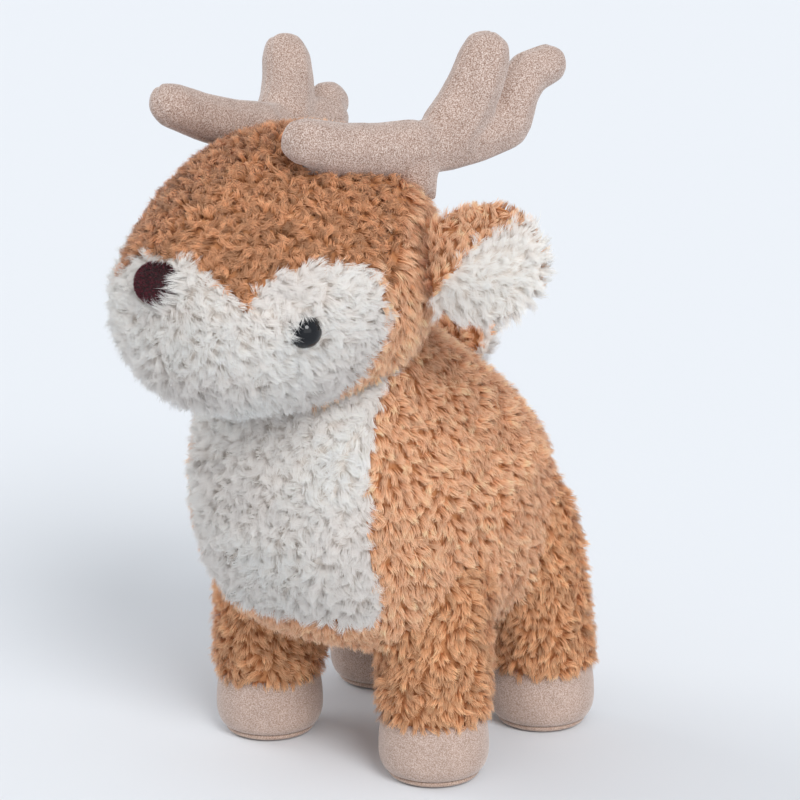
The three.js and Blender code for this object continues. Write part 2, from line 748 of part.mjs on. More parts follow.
// Each antler is two mirrored cloths, sewn edge to edge and stuffed, and it sits on the crown.
function buildAntlers() {
  for (const { side, sign } of sides) {
    const turnShare = (sign > 0 ? antler.turnUp : Math.PI - antler.turnUp) / (2 * Math.PI);
    const made = group(headGroup);
    made.position.setFromMatrixPosition(placeOn(headPoint, antler.ringShare, turnShare));
    const splay = sign > 0 ? antler.splayLeft : antler.splayRight;
    const lean = sign > 0 ? antler.leanLeft : antler.leanRight;
    made.rotation.set(-lean, sign * splay, -sign * antler.toeIn, 'ZYX');
    made.updateMatrix();
    const crown = toSolid(headRoomForm, made.matrix.clone().invert());
    const hollow = antlerForm(sign, suedeDepth, antlerFillSides);
    const cover = antlerForm(sign, 0, antlerSides).subtract(hollow).subtract(crown);
    for (const { sign: coverSign, half: coverHalf } of sides) {
      const face = coverSign === sign ? 'outer' : 'inner';
      piece(made, `antler_${side}_${face}`, cover.intersect(coverHalf), suede);
    }
    const filling = antlerForm(sign, suedeDepth + seamGap, antlerFillSides).subtract(crown);
    piece(made, `antler_${side}_filling`, filling, fibre);
  }
}

buildBody();
buildLegs();
buildHead();
buildEars();
buildAntlers();
buildTail();

export default deer;
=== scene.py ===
"""Looks of a standing plush deer.

The toy is sewn from tufted pile cloth round a fibre filling. Its hooves and antlers are micro-suede, its
nose is flocked and its eyes are glossy domes. Every piece is made in metres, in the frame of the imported
model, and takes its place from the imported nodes: a smooth backing is drawn round them, and the pile grows
from it.
"""

import json
import logging
import math
from dataclasses import dataclass, field
from enum import Enum
from typing import ClassVar

import bmesh
import bpy
import numpy as np
from mathutils import Matrix, Vector
from mathutils.bvhtree import BVHTree


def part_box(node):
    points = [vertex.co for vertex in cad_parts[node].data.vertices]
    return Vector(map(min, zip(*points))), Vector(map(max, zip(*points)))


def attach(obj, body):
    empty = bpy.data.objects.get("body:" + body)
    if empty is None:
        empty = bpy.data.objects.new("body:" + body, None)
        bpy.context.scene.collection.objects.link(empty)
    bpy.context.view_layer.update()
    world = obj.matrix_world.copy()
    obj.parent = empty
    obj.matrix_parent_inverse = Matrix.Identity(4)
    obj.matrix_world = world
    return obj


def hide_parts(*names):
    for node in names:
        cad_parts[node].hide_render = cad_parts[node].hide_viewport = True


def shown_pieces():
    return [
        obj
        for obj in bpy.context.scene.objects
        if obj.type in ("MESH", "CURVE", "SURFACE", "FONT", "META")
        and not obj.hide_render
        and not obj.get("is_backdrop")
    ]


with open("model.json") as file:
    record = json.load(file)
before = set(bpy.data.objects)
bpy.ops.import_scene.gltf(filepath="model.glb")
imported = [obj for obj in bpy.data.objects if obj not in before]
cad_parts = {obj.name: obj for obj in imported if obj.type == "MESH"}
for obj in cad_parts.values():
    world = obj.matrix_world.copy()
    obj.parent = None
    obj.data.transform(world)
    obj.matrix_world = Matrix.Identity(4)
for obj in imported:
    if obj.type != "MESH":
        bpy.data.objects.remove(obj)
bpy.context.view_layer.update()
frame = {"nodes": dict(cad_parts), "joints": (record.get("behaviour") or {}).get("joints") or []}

LOG = logging.getLogger("plush_deer")
SIDES = ("left", "right")
LEGS = tuple(f"leg_{end}_{side}" for end in ("front", "hind") for side in SIDES)
STUDS = ("nose", *(f"eye_{side}" for side in SIDES))
SEED = 1226

# The export thins a piece of more than 200,000 triangles, so a pile with more than this is split.
MOST_TRIANGLES = 185_000

# Darts thrown at each square of cloth as wide as the spacing. Two grids, half a cell apart, then thin them
# to even distances.
DARTS = 7
GRID_SHIFTS = (0.0, 0.5)

# Smooth chance over a cloth comes from this many crossing waves, coarser and finer within a range.
CROSSING = 6
WAVE_RANGE = (0.7, 1.4)

# How strongly each round smooths a skin, and how many rounds settle it after its inset.
SMOOTHING = 0.5
SETTLING = 3

# The sRGB curve is straight up to its toe and a power above it.
SRGB_TOE = 0.04045
SRGB_SLOPE = 12.92
SRGB_OFFSET = 0.055
SRGB_POWER = 2.4

DOWN = np.array([0.0, 0.0, -1.0])
LEAST_LENGTH = 1e-12


def mm(value: float) -> float:
    """Millimetres in metres."""
    return value / 1000.0


def linear(code: str) -> tuple[float, float, float, float]:
    """Turns an sRGB hex colour into linear light.

    Args:
        code: Six hex digits, with or without a leading hash.

    Returns:
        Red, green, blue and an alpha of one.
    """
    digits = code.lstrip("#")
    channels = [int(digits[at : at + 2], 16) / 255.0 for at in (0, 2, 4)]
    light = [
        c / SRGB_SLOPE if c <= SRGB_TOE else ((c + SRGB_OFFSET) / (1.0 + SRGB_OFFSET)) ** SRGB_POWER
        for c in channels
    ]
    return (light[0], light[1], light[2], 1.0)


def unit(vectors: np.ndarray) -> np.ndarray:
    """Scales each row of an array of vectors to length one."""
    length = np.linalg.norm(vectors, axis=-1, keepdims=True)
    return vectors / np.maximum(length, LEAST_LENGTH)


def add_node(
    owner: bpy.types.Material | bpy.types.World,
    kind: str,
    values: dict[str | int, object] | None = None,
    links: dict[str | int, bpy.types.NodeSocket] | None = None,
    **settings: object,
) -> bpy.types.Node:
    """Adds one node with its settings, its socket values and its links.

    Args:
        owner: The material or world whose tree gets the node.
        kind: The node's type name.
        values: Values of input sockets, by socket name or number.
        links: Output sockets that feed input sockets, by socket name or number.
        **settings: The node's own properties.

    Returns:
        The new node.
    """
    tree = owner.node_tree
    node = tree.nodes.new(kind)
    for name, value in settings.items():
        setattr(node, name, value)
    for name, value in (values or {}).items():
        node.inputs[name].default_value = value
    for name, source in (links or {}).items():
        tree.links.new(source, node.inputs[name])
    return node


def new_material(name: str) -> bpy.types.Material:
    """Makes an empty node material.

    Args:
        name: The material's name.

    Returns:
        The material, with no node in it.
    """
    material = bpy.data.materials.new(name)
    material.use_nodes = True
    material.node_tree.nodes.clear()
    return material


def finished(material: bpy.types.Material, shader: bpy.types.Node) -> bpy.types.Material:
    """Ends a material's tree with its shader.

    Args:
        material: The material.
        shader: The node whose first output is the surface.

    Returns:
        The same material.
    """
    add_node(material, "ShaderNodeOutputMaterial", links={"Surface": shader.outputs[0]})
    return material


# Finishes


@dataclass(frozen=True)
class TuftedPile:
    """Polyester tufted pile: extruded fibres that scatter light softly, with shaded gaps between tufts.

    The fibres carry colours from a darker root to a pale tip, so the eye sees pale tips over deeper gaps;
    the darker roots are painted shade deep in the pile. Tufts, fibres and patches of the cloth differ a
    little in brightness, within the least and the most gain.
    """

    name: str
    root: str
    middle: str
    tip: str
    sheen: float = 0.25
    clearness: float = 0.4
    tuft_variation: float = 0.06
    fibre_variation: float = 0.06
    patch_variation: float = 0.03
    middle_at: float = 0.5
    least_gain: float = 0.6
    most_gain: float = 1.3
    brightest: float = 0.96

    def shade(
        self, along: np.ndarray, tuft: np.ndarray, fibre: np.ndarray, patch: np.ndarray
    ) -> np.ndarray:
        """Colours points of fibres, darker towards the root as painted shade deep in the pile.

        Args:
            along: Place along the fibre, from 0 at the root to 1 at the tip.
            tuft: One normal random number for each point's tuft.
            fibre: One normal random number for each point's fibre.
            patch: A smooth number from -1 to 1 over the cloth.

        Returns:
            Linear RGBA for each point.
        """
        root, middle, tip = (np.array(linear(code)[:3]) for code in (self.root, self.middle, self.tip))
        low = np.clip(along / self.middle_at, 0.0, 1.0)[..., None]
        high = np.clip((along - self.middle_at) / (1.0 - self.middle_at), 0.0, 1.0)[..., None]
        colour = (root * (1 - low) + middle * low) * (1 - high) + tip * high
        gain = 1.0 + self.tuft_variation * tuft + self.fibre_variation * fibre + self.patch_variation * patch
        gain = np.clip(gain, self.least_gain, self.most_gain)
        colour = np.clip(colour * gain[..., None], 0.0, self.brightest)
        return np.concatenate([colour, np.ones_like(colour[..., :1])], axis=-1)

    def build(self) -> bpy.types.Material:
        """Makes the fibre material, which takes its colour from the fibres.

        Returns:
            The material.
        """
        material = new_material(self.name)
        colour = add_node(material, "ShaderNodeVertexColor", layer_name="PileColour")
        # Extruded polyester is matt in bulk, and its fuzz catches light at grazing angles.
        surface = add_node(
            material,
            "ShaderNodeBsdfPrincipled",
            values={
                "Roughness": 0.8,
                "Specular IOR Level": 0.2,
                "Sheen Weight": self.sheen,
                "Sheen Roughness": 0.5,
            },
            links={"Base Color": colour.outputs["Color"]},
        )
        # The fibres are clear enough to glow with the light behind them, which keeps their shadows soft.
        glow = add_node(material, "ShaderNodeBsdfTranslucent", links={"Color": colour.outputs["Color"]})
        shader = add_node(
            material,
            "ShaderNodeMixShader",
            values={0: self.clearness},
            links={1: surface.outputs[0], 2: glow.outputs[0]},
        )
        return finished(material, shader)


@dataclass(frozen=True)
class PileBacking:
    """Warp-knitted polyester backing: the dull ground that shows deep between the tufts."""

    name: str
    ground: str
    shadow: str
    loop_mm: float = 1.6
    relief_mm: float = 0.5

    def build(self) -> bpy.types.Material:
        """Makes the backing material with its knitted mottle.

        Returns:
            The material.
        """
        material = new_material(self.name)
        place = add_node(material, "ShaderNodeTexCoord")
        # Real loops are about 1 mm wide, and they are drawn coarser, so that they show between the tufts.
        mottle = add_node(
            material,
            "ShaderNodeTexNoise",
            values={"Scale": 1.0 / mm(self.loop_mm), "Detail": 3.0, "Roughness": 0.6},
            links={"Vector": place.outputs["Object"]},
        )
        ramp = add_node(material, "ShaderNodeValToRGB", links={"Fac": mottle.outputs["Fac"]})
        ramp.color_ramp.elements[0].color = linear(self.shadow)
        ramp.color_ramp.elements[1].color = linear(self.ground)
        bump = add_node(
            material,
            "ShaderNodeBump",
            values={"Strength": 0.6, "Distance": mm(self.relief_mm)},
            links={"Height": mottle.outputs["Fac"]},
        )
        # A knitted ground has no gloss at all.
        shader = add_node(
            material,
            "ShaderNodeBsdfPrincipled",
            values={"Roughness": 0.95, "Specular IOR Level": 0.1},
            links={"Base Color": ramp.outputs["Color"], "Normal": bump.outputs["Normal"]},
        )
        return finished(material, shader)


@dataclass(frozen=True)
class MicroSuede:
    """Brushed micro-suede: a short raised nap with pale and dark flecks, matt with a faint bloom."""

    name: str
    dark: str
    middle: str
    pale: str
    fleck_mm: float = 0.45
    patch_mm: float = 9.0
    relief_mm: float = 0.2
    dark_at: float = 0.36
    middle_at: float = 0.5
    pale_at: float = 0.66

    def build(self) -> bpy.types.Material:
        """Makes the suede with flecks in its colour and its nap in the relief.

        Returns:
            The material.
        """
        material = new_material(self.name)
        place = add_node(material, "ShaderNodeTexCoord")
        # The real flecks are about 0.3 mm, finer than a pixel, so they are drawn a little coarser.
        fleck = add_node(
            material,
            "ShaderNodeTexNoise",
            values={"Scale": 1.0 / mm(self.fleck_mm), "Detail": 3.0, "Roughness": 0.65},
            links={"Vector": place.outputs["Object"]},
        )
        ramp = add_node(material, "ShaderNodeValToRGB", links={"Fac": fleck.outputs["Fac"]})
        ramp.color_ramp.elements[0].position = self.dark_at
        ramp.color_ramp.elements[0].color = linear(self.dark)
        ramp.color_ramp.elements[1].position = self.pale_at
        ramp.color_ramp.elements[1].color = linear(self.pale)
        centre = ramp.color_ramp.elements.new(self.middle_at)
        centre.color = linear(self.middle)
        patch = add_node(
            material,
            "ShaderNodeTexNoise",
            values={"Scale": 1.0 / mm(self.patch_mm), "Detail": 2.0},
            links={"Vector": place.outputs["Object"]},
        )
        nap = add_node(
            material,
            "ShaderNodeMapRange",
            values={"From Min": 0.3, "From Max": 0.7, "To Min": 0.93, "To Max": 1.04},
            links={"Value": patch.outputs["Fac"]},
        )
        colour = add_node(
            material,
            "ShaderNodeVectorMath",
            operation="SCALE",
            links={"Vector": ramp.outputs["Color"], "Scale": nap.outputs["Result"]},
        )
        bump = add_node(
            material,
            "ShaderNodeBump",
            values={"Strength": 0.7, "Distance": mm(self.relief_mm)},
            links={"Height": fleck.outputs["Fac"]},
        )
        # Brushed nap: no gloss, but a soft bloom at the edges of the form.
        shader = add_node(
            material,
            "ShaderNodeBsdfPrincipled",
            values={
                "Roughness": 0.92,
                "Specular IOR Level": 0.15,
                "Sheen Weight": 0.45,
                "Sheen Roughness": 0.4,
            },
            links={"Base Color": colour.outputs["Vector"], "Normal": bump.outputs["Normal"]},
        )
        return finished(material, shader)


@dataclass(frozen=True)
class MouldedPlastic:
    """Injection-moulded plastic: one colour right through, with a gloss set by the mould's polish."""

    name: str
    colour: str
    roughness: float
    mirror: float = 0.5
    grain_mm: float = 1.5
    smoother: float = 0.9
    rougher: float = 1.15

    def build(self) -> bpy.types.Material:
        """Makes the plastic with a trace of unevenness in its gloss.

        Returns:
            The material.
        """
        material = new_material(self.name)
        place = add_node(material, "ShaderNodeTexCoord")
        # The polish of the mould varies over a millimetre or two, which breaks up the edge of a highlight.
        cloud = add_node(
            material,
            "ShaderNodeTexNoise",
            values={"Scale": 1.0 / mm(self.grain_mm), "Detail": 2.0},
            links={"Vector": place.outputs["Object"]},
        )
        gloss = add_node(
            material,
            "ShaderNodeMapRange",
            values={"To Min": self.roughness * self.smoother, "To Max": self.roughness * self.rougher},
            links={"Value": cloud.outputs["Fac"]},
        )
        # Acrylic and nylon both bend light by about 1.49. The polish decides how clearly they mirror a room.
        shader = add_node(
            material,
            "ShaderNodeBsdfPrincipled",
            values={"Base Color": linear(self.colour), "IOR": 1.49, "Specular IOR Level": self.mirror},
            links={"Roughness": gloss.outputs["Result"]},
        )
        return finished(material, shader)


@dataclass(frozen=True)
class EmulsionPaint:
    """Flat emulsion paint: rolled on and quite matt, so that a floor shows only the toy's soft shadow."""

    name: str
    colour: str

    def build(self) -> bpy.types.Material:
        """Makes the paint.

        Returns:
            The material.
        """
        material = new_material(self.name)
        shader = add_node(
            material,
            "ShaderNodeBsdfPrincipled",
            values={"Base Color": linear(self.colour), "Roughness": 0.9, "Specular IOR Level": 0.2},
        )
        return finished(material, shader)


# Each pile's root colour is darker than its middle: painted shade deep in the pile between the tufts.
TAN_PILE = TuftedPile(
    "TuftedPileTan",
    root="#B46E3C",
    middle="#F4BC91",
    tip="#FCD7B5",
    clearness=0.2,
    tuft_variation=0.11,
)
# A darker copy of the tan pile: painted shade for the legs, which stand in the shade of the body.
SHADED_LEG_PILE = TuftedPile(
    "TuftedPileTanShaded",
    root="#A0582C",
    middle="#DEA272",
    tip="#F4CAA2",
    clearness=0.2,
    tuft_variation=0.14,
)
CROWN_PILE = TuftedPile(
    "TuftedPileTanCurly",
    root="#74401F",
    middle="#C68A5E",
    tip="#EDB991",
    clearness=0.2,
    tuft_variation=0.24,
)
WHITE_PILE = TuftedPile(
    "TuftedPileWhite",
    root="#F3EAE2",
    middle="#FBF7F3",
    tip="#FCF9F6",
    sheen=0.6,
    clearness=0.44,
    tuft_variation=0.01,
    fibre_variation=0.02,
)
NOSE_FLOCK = TuftedPile(
    "NylonFlockBrown",
    root="#2E1216",
    middle="#50202A",
    tip="#783640",
    sheen=0.05,
    clearness=0.1,
    tuft_variation=0.15,
)
TAN_BACKING = PileBacking("KnittedBackingTan", ground="#CE9468", shadow="#B0764C")
WHITE_BACKING = PileBacking("KnittedBackingWhite", ground="#EEE8E2", shadow="#DCD4CC")
ANTLER_SUEDE = MicroSuede("MicroSuedeBeige", dark="#806556", middle="#B49C90", pale="#E0D2CA")
HOOF_SUEDE = MicroSuede("MicroSuedeHoof", dark="#9A8170", middle="#B8A195", pale="#D0BEB5")
SOLE_SUEDE = MicroSuede("MicroSuedeSole", dark="#96796A", middle="#B89F90", pale="#D0BDB1")
EYE_ACRYLIC = MouldedPlastic("AcrylicBlack", colour="#0A0C12", roughness=0.04, mirror=0.35)
NOSE_CORE = MouldedPlastic("NosePolymerBrown", colour="#2C1215", roughness=0.7)
WASHER_NYLON = MouldedPlastic("NylonWhite", colour="#F0F0EE", roughness=0.45)
FLOOR_PAINT = EmulsionPaint("FloorPaintPale", colour="#E4E8ED")


# Meshes


def link_object(name: str, mesh: bpy.types.Mesh, material: bpy.types.Material) -> bpy.types.Object:
    """Puts a mesh into the scene with one material.

    Args:
        name: The piece's name.
        mesh: Its mesh.
        material: Its material.

    Returns:
        The new object.
    """
    made = bpy.data.objects.new(name, mesh)
    bpy.context.scene.collection.objects.link(made)
    mesh.materials.clear()
    mesh.materials.append(material)
    return made


def vertex_array(mesh: bpy.types.Mesh) -> np.ndarray:
    """Reads the points of a mesh.

    Args:
        mesh: The mesh.

    Returns:
        The points, one in each row.
    """
    points = np.empty(len(mesh.vertices) * 3)
    mesh.vertices.foreach_get("co", points)
    return points.reshape(-1, 3)


def normal_array(mesh: bpy.types.Mesh) -> np.ndarray:
    """Reads the smooth normals at the points of a mesh.

    Args:
        mesh: The mesh.

    Returns:
        The normals, one in each row.
    """
    normals = np.empty(len(mesh.vertices) * 3, np.float32)
    mesh.vertex_normals.foreach_get("vector", normals)
    return normals.reshape(-1, 3).astype(float)


def joined(nodes: tuple[str, ...]) -> tuple[list[tuple[float, ...]], list[tuple[int, ...]]]:
    """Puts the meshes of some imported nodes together.

    Args:
        nodes: The nodes.

    Returns:
        Their points, and their polygons as numbers of points.
    """
    points: list[tuple[float, ...]] = []
    polygons: list[tuple[int, ...]] = []
    for node in nodes:
        mesh = frame["nodes"][node].data
        polygons += [tuple(len(points) + at for at in polygon.vertices) for polygon in mesh.polygons]
        points += [tuple(point) for point in vertex_array(mesh)]
    return points, polygons


def surface_tree(node: str) -> BVHTree:
    """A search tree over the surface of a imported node."""
    points, polygons = joined((node,))
    return BVHTree.FromPolygons([Vector(point) for point in points], polygons)


def keep_largest(mesh: bpy.types.Mesh) -> None:
    """Deletes all but the largest connected part of a mesh.

    Args:
        mesh: The mesh, which is changed.
    """
    made = bmesh.new()
    made.from_mesh(mesh)
    left = set(made.verts)
    islands: list[set[bmesh.types.BMVert]] = []
    while left:
        queue = [left.pop()]
        island = set(queue)
        while queue:
            for edge in queue.pop().link_edges:
                for vert in edge.verts:
                    if vert in left:
                        left.discard(vert)
                        island.add(vert)
                        queue.append(vert)
        islands.append(island)
    keep = max(islands, key=len)
    bmesh.ops.delete(made, geom=[vert for vert in made.verts if vert not in keep], context="VERTS")
    made.to_mesh(mesh)
    made.free()


@dataclass
class Skin:
    """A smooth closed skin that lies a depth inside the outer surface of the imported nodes.

    Its probe is a slanting direction, so that a ray hardly ever runs along an edge of the mesh.
    """

    made: bpy.types.Object
    depth: float
    tree: BVHTree
    probe: tuple[float, float, float] = (0.36, 0.48, 0.8)
    beyond: float = mm(0.01)

    def signed(self, points: np.ndarray) -> np.ndarray:
        """Measures how far points lie outside the outer surface, which a ray crosses an odd number of times.

        Args:
            points: The points.

        Returns:
            The distances in metres, below zero inside.
        """
        way = Vector(self.probe)
        out = np.empty(len(points))
        for at, point in enumerate(points):
            place = Vector(point)
            out[at] = self.tree.find_nearest(place)[3]
            crossings = 0
            while (hit := self.tree.ray_cast(place, way)[0]) is not None:
                crossings += 1
                place = hit + way * self.beyond
            if crossings % 2:
                out[at] *= -1
        return out - self.depth


def draw_skin(
    name: str,
    nodes: tuple[str, ...],
    material: bpy.types.Material,
    voxel: float,
    rounds: int,
    depth: float,
) -> Skin:
    """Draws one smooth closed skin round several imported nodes.

    Args:
        name: The piece's name.
        nodes: The nodes that the skin holds together.
        material: Its material.
        voxel: The remesh size, in metres.
        rounds: How often the surface is smoothed.
        depth: How far the skin lies inside the nodes' outer surface, in metres.

    Returns:
        The skin.
    """
    points, polygons = joined(nodes)
    mesh = bpy.data.meshes.new(name)
    mesh.from_pydata(points, [], polygons)
    made = link_object(name, mesh, material)
    remesh = made.modifiers.new("Remesh", "REMESH")
    remesh.mode = "VOXEL"
    remesh.voxel_size = voxel
    smooth = made.modifiers.new("Smooth", "SMOOTH")
    smooth.factor = SMOOTHING
    smooth.iterations = rounds
    shrink = made.modifiers.new("Inset", "DISPLACE")
    shrink.mid_level = 0.0
    shrink.strength = -depth
    settle = made.modifiers.new("Settle", "SMOOTH")
    settle.factor = SMOOTHING
    settle.iterations = SETTLING
    evaluated = made.evaluated_get(bpy.context.evaluated_depsgraph_get())
    skin = bpy.data.meshes.new_from_object(evaluated)
    made.modifiers.clear()
    made.data = skin
    bpy.data.meshes.remove(mesh)
    keep_largest(skin)
    skin.polygons.foreach_set("use_smooth", np.ones(len(skin.polygons), bool))
    skin.name = name
    skin.materials.clear()
    skin.materials.append(material)
    corners = [tuple(polygon.vertices) for polygon in skin.polygons]
    tree = BVHTree.FromPolygons([vertex.co for vertex in skin.vertices], corners)
    return Skin(made, depth, tree)


def lathe(
    name: str, profile: list[tuple[float, float]], sides: int, material: bpy.types.Material
) -> bpy.types.Object:
    """Turns a profile about +Z into a closed smooth piece.

    Args:
        name: The piece's name.
        profile: Radius and height, from the axis at the bottom to the axis at the top.
        sides: How many sides it has.
        material: Its material.

    Returns:
        The turned piece, at the origin.
    """
    made = bmesh.new()
    angles = [2 * math.pi * k / sides for k in range(sides)]
    rings: list[list[bmesh.types.BMVert]] = []
    for radius, height in profile:
        places = [(radius * math.cos(a), radius * math.sin(a), height) for a in angles]
        if radius == 0.0:
            places = places[:1]
        rings.append([made.verts.new(place) for place in places])
    for low, high in zip(rings, rings[1:]):
        for k in range(sides):
            after = (k + 1) % sides
            below = (low[k % len(low)], low[after % len(low)])
            above = (high[after % len(high)], high[k % len(high)])
            made.faces.new(list(dict.fromkeys((*below, *above))))
    mesh = bpy.data.meshes.new(name)
    made.to_mesh(mesh)
    made.free()
    mesh.polygons.foreach_set("use_smooth", np.ones(len(mesh.polygons), bool))
    return link_object(name, mesh, material)


def finish_piece(piece: bpy.types.Object, body: str, slot: str, *nodes: str) -> None:
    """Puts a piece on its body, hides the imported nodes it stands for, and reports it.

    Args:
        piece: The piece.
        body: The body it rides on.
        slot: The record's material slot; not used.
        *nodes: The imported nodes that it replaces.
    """
    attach(piece, body)
    if nodes:
        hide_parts(*nodes)
    LOG.info("%s rides on %s with %d faces", piece.name, body, len(piece.data.polygons))


# Pile


class Comb(Enum):
    """Which way a pile is combed."""

    ALONG = "along a direction"
    AWAY = "away from a point"
    TOWARDS = "towards a point"


class Waves(Enum):
    """Which smooth waves run over a cloth. The value is their seed."""

    FOLD = 3
    COMB = 5
    CROWN_EDGE = 7
    PATCH = 9


@dataclass(frozen=True)
class PileCut:
    """How a pile cloth is tufted, cut and combed. Lengths are in millimetres and angles in degrees.

    A tuft leaves the cloth at its lay and turns over by its bend. Its fibres gather towards the tip, and the
    outer ones are shorter. Tufts stray from the comb one by one, and the comb drifts over the cloth. The
    relief says how strongly the light shows the round form of each tuft. The shares are a fibre's stations
    from root to tip, and the taper is its width along it. What varies by chance has a spread and a range.

    A real fibre is about 0.03 mm wide, too fine to show, so each one here is wider and stands for several.
    """

    length: float
    spacing: float
    fibres: int
    width: float
    lay: float
    bend: float
    stray: float
    drift: float
    gather: float
    curl: float
    turns: float
    frizz: float
    relief: float = 1.0
    shares: tuple[float, ...] = (0.0, 0.38, 0.74, 1.0)
    taper_at: tuple[float, ...] = (0.0, 0.4, 0.75, 1.0)
    taper: tuple[float, ...] = (0.9, 1.0, 0.9, 0.0)
    tuft_fill: float = 0.62
    shorter: float = 0.2
    lay_spread: float = 7.0
    bend_spread: float = 14.0
    bend_range: tuple[float, float] = (8.0, 150.0)
    length_spread: float = 0.1
    length_range: tuple[float, float] = (0.7, 1.3)
    fibre_spread: float = 0.07
    fibre_range: tuple[float, float] = (0.5, 1.3)
    drift_wave: float = 14.0
    patch_wave: float = 45.0
    face_up: float = 0.5
    face_out: float = 0.45
    face_down: float = 0.6


@dataclass
class Spots:
    """Places on a skin where tufts are sewn, with its outward normals and the way the pile is combed."""

    points: np.ndarray
    normals: np.ndarray
    comb: np.ndarray

    def pick(self, kept: np.ndarray) -> "Spots":
        """The spots that a mask or a list of numbers keeps."""
        return Spots(self.points[kept], self.normals[kept], self.comb[kept])

    def over(self, height: float) -> np.ndarray:
        """The points that stand a height over the spots."""
        return self.points + self.normals * height

    def combed(self, comb: Comb, guide: np.ndarray) -> "Spots":
        """Combs the pile.

        Args:
            comb: Which way.
            guide: The direction or the point that the comb needs, in metres.

        Returns:
            The spots with their comb direction, level with the skin.
        """
        way = {
            Comb.ALONG: np.broadcast_to(guide, self.points.shape),
            Comb.AWAY: self.points - guide,
            Comb.TOWARDS: guide - self.points,
        }[comb]
        level = way - (way * self.normals).sum(axis=1, keepdims=True) * self.normals
        return Spots(self.points, self.normals, unit(level))


def scatter(mesh: bpy.types.Mesh, spacing: float, rng: np.random.Generator) -> Spots:
    """Spreads spots evenly over a skin.

    Args:
        mesh: The skin's mesh.
        spacing: The distance between neighbours, in metres.
        rng: The source of chance.

    Returns:
        Spots that aren't combed yet.
    """
    mesh.calc_loop_triangles()
    points, normals = vertex_array(mesh), normal_array(mesh)
    corners = np.empty(len(mesh.loop_triangles) * 3, np.int32)
    mesh.loop_triangles.foreach_get("vertices", corners)
    corners = corners.reshape(-1, 3)
    a, b, c = (points[corners[:, k]] for k in range(3))
    areas = np.linalg.norm(np.cross(b - a, c - a), axis=1) / 2
    count = int(areas.sum() / spacing**2 * DARTS)
    chosen = rng.choice(len(areas), count, p=areas / areas.sum())
    share = rng.random((count, 2))
    fold = share.sum(axis=1) > 1
    share[fold] = 1 - share[fold]
    weights = np.stack([1 - share.sum(axis=1), share[:, 0], share[:, 1]], axis=1)
    spots = np.einsum("nk,nkx->nx", weights, points[corners[chosen]])
    upright = unit(np.einsum("nk,nkx->nx", weights, normals[corners[chosen]]))
    kept = np.arange(count)
    for shift in GRID_SHIFTS:
        cells = np.floor(spots[kept] / spacing + shift).astype(np.int64)
        _, first = np.unique(cells, axis=0, return_index=True)
        kept = kept[np.sort(first)]
    return Spots(spots[kept], upright[kept], np.zeros((len(kept), 3)))


def wander(points: np.ndarray, wavelength: float, waves: Waves) -> np.ndarray:
    """Gives a smooth number from about -1 to 1 at each point, from a few crossing waves.

    Args:
        points: The points.
        wavelength: The distance between the waves' crests, in metres.
        waves: Which waves.

    Returns:
        One number for each point.
    """
    rng = np.random.default_rng(waves.value)
    ways = unit(rng.normal(size=(CROSSING, 3))) * 2 * math.pi / wavelength
    ways = ways * rng.uniform(*WAVE_RANGE, (CROSSING, 1))
    phases = rng.uniform(0, 2 * math.pi, CROSSING)
    return np.sin(points @ ways.T + phases).sum(axis=1) * 2 / CROSSING


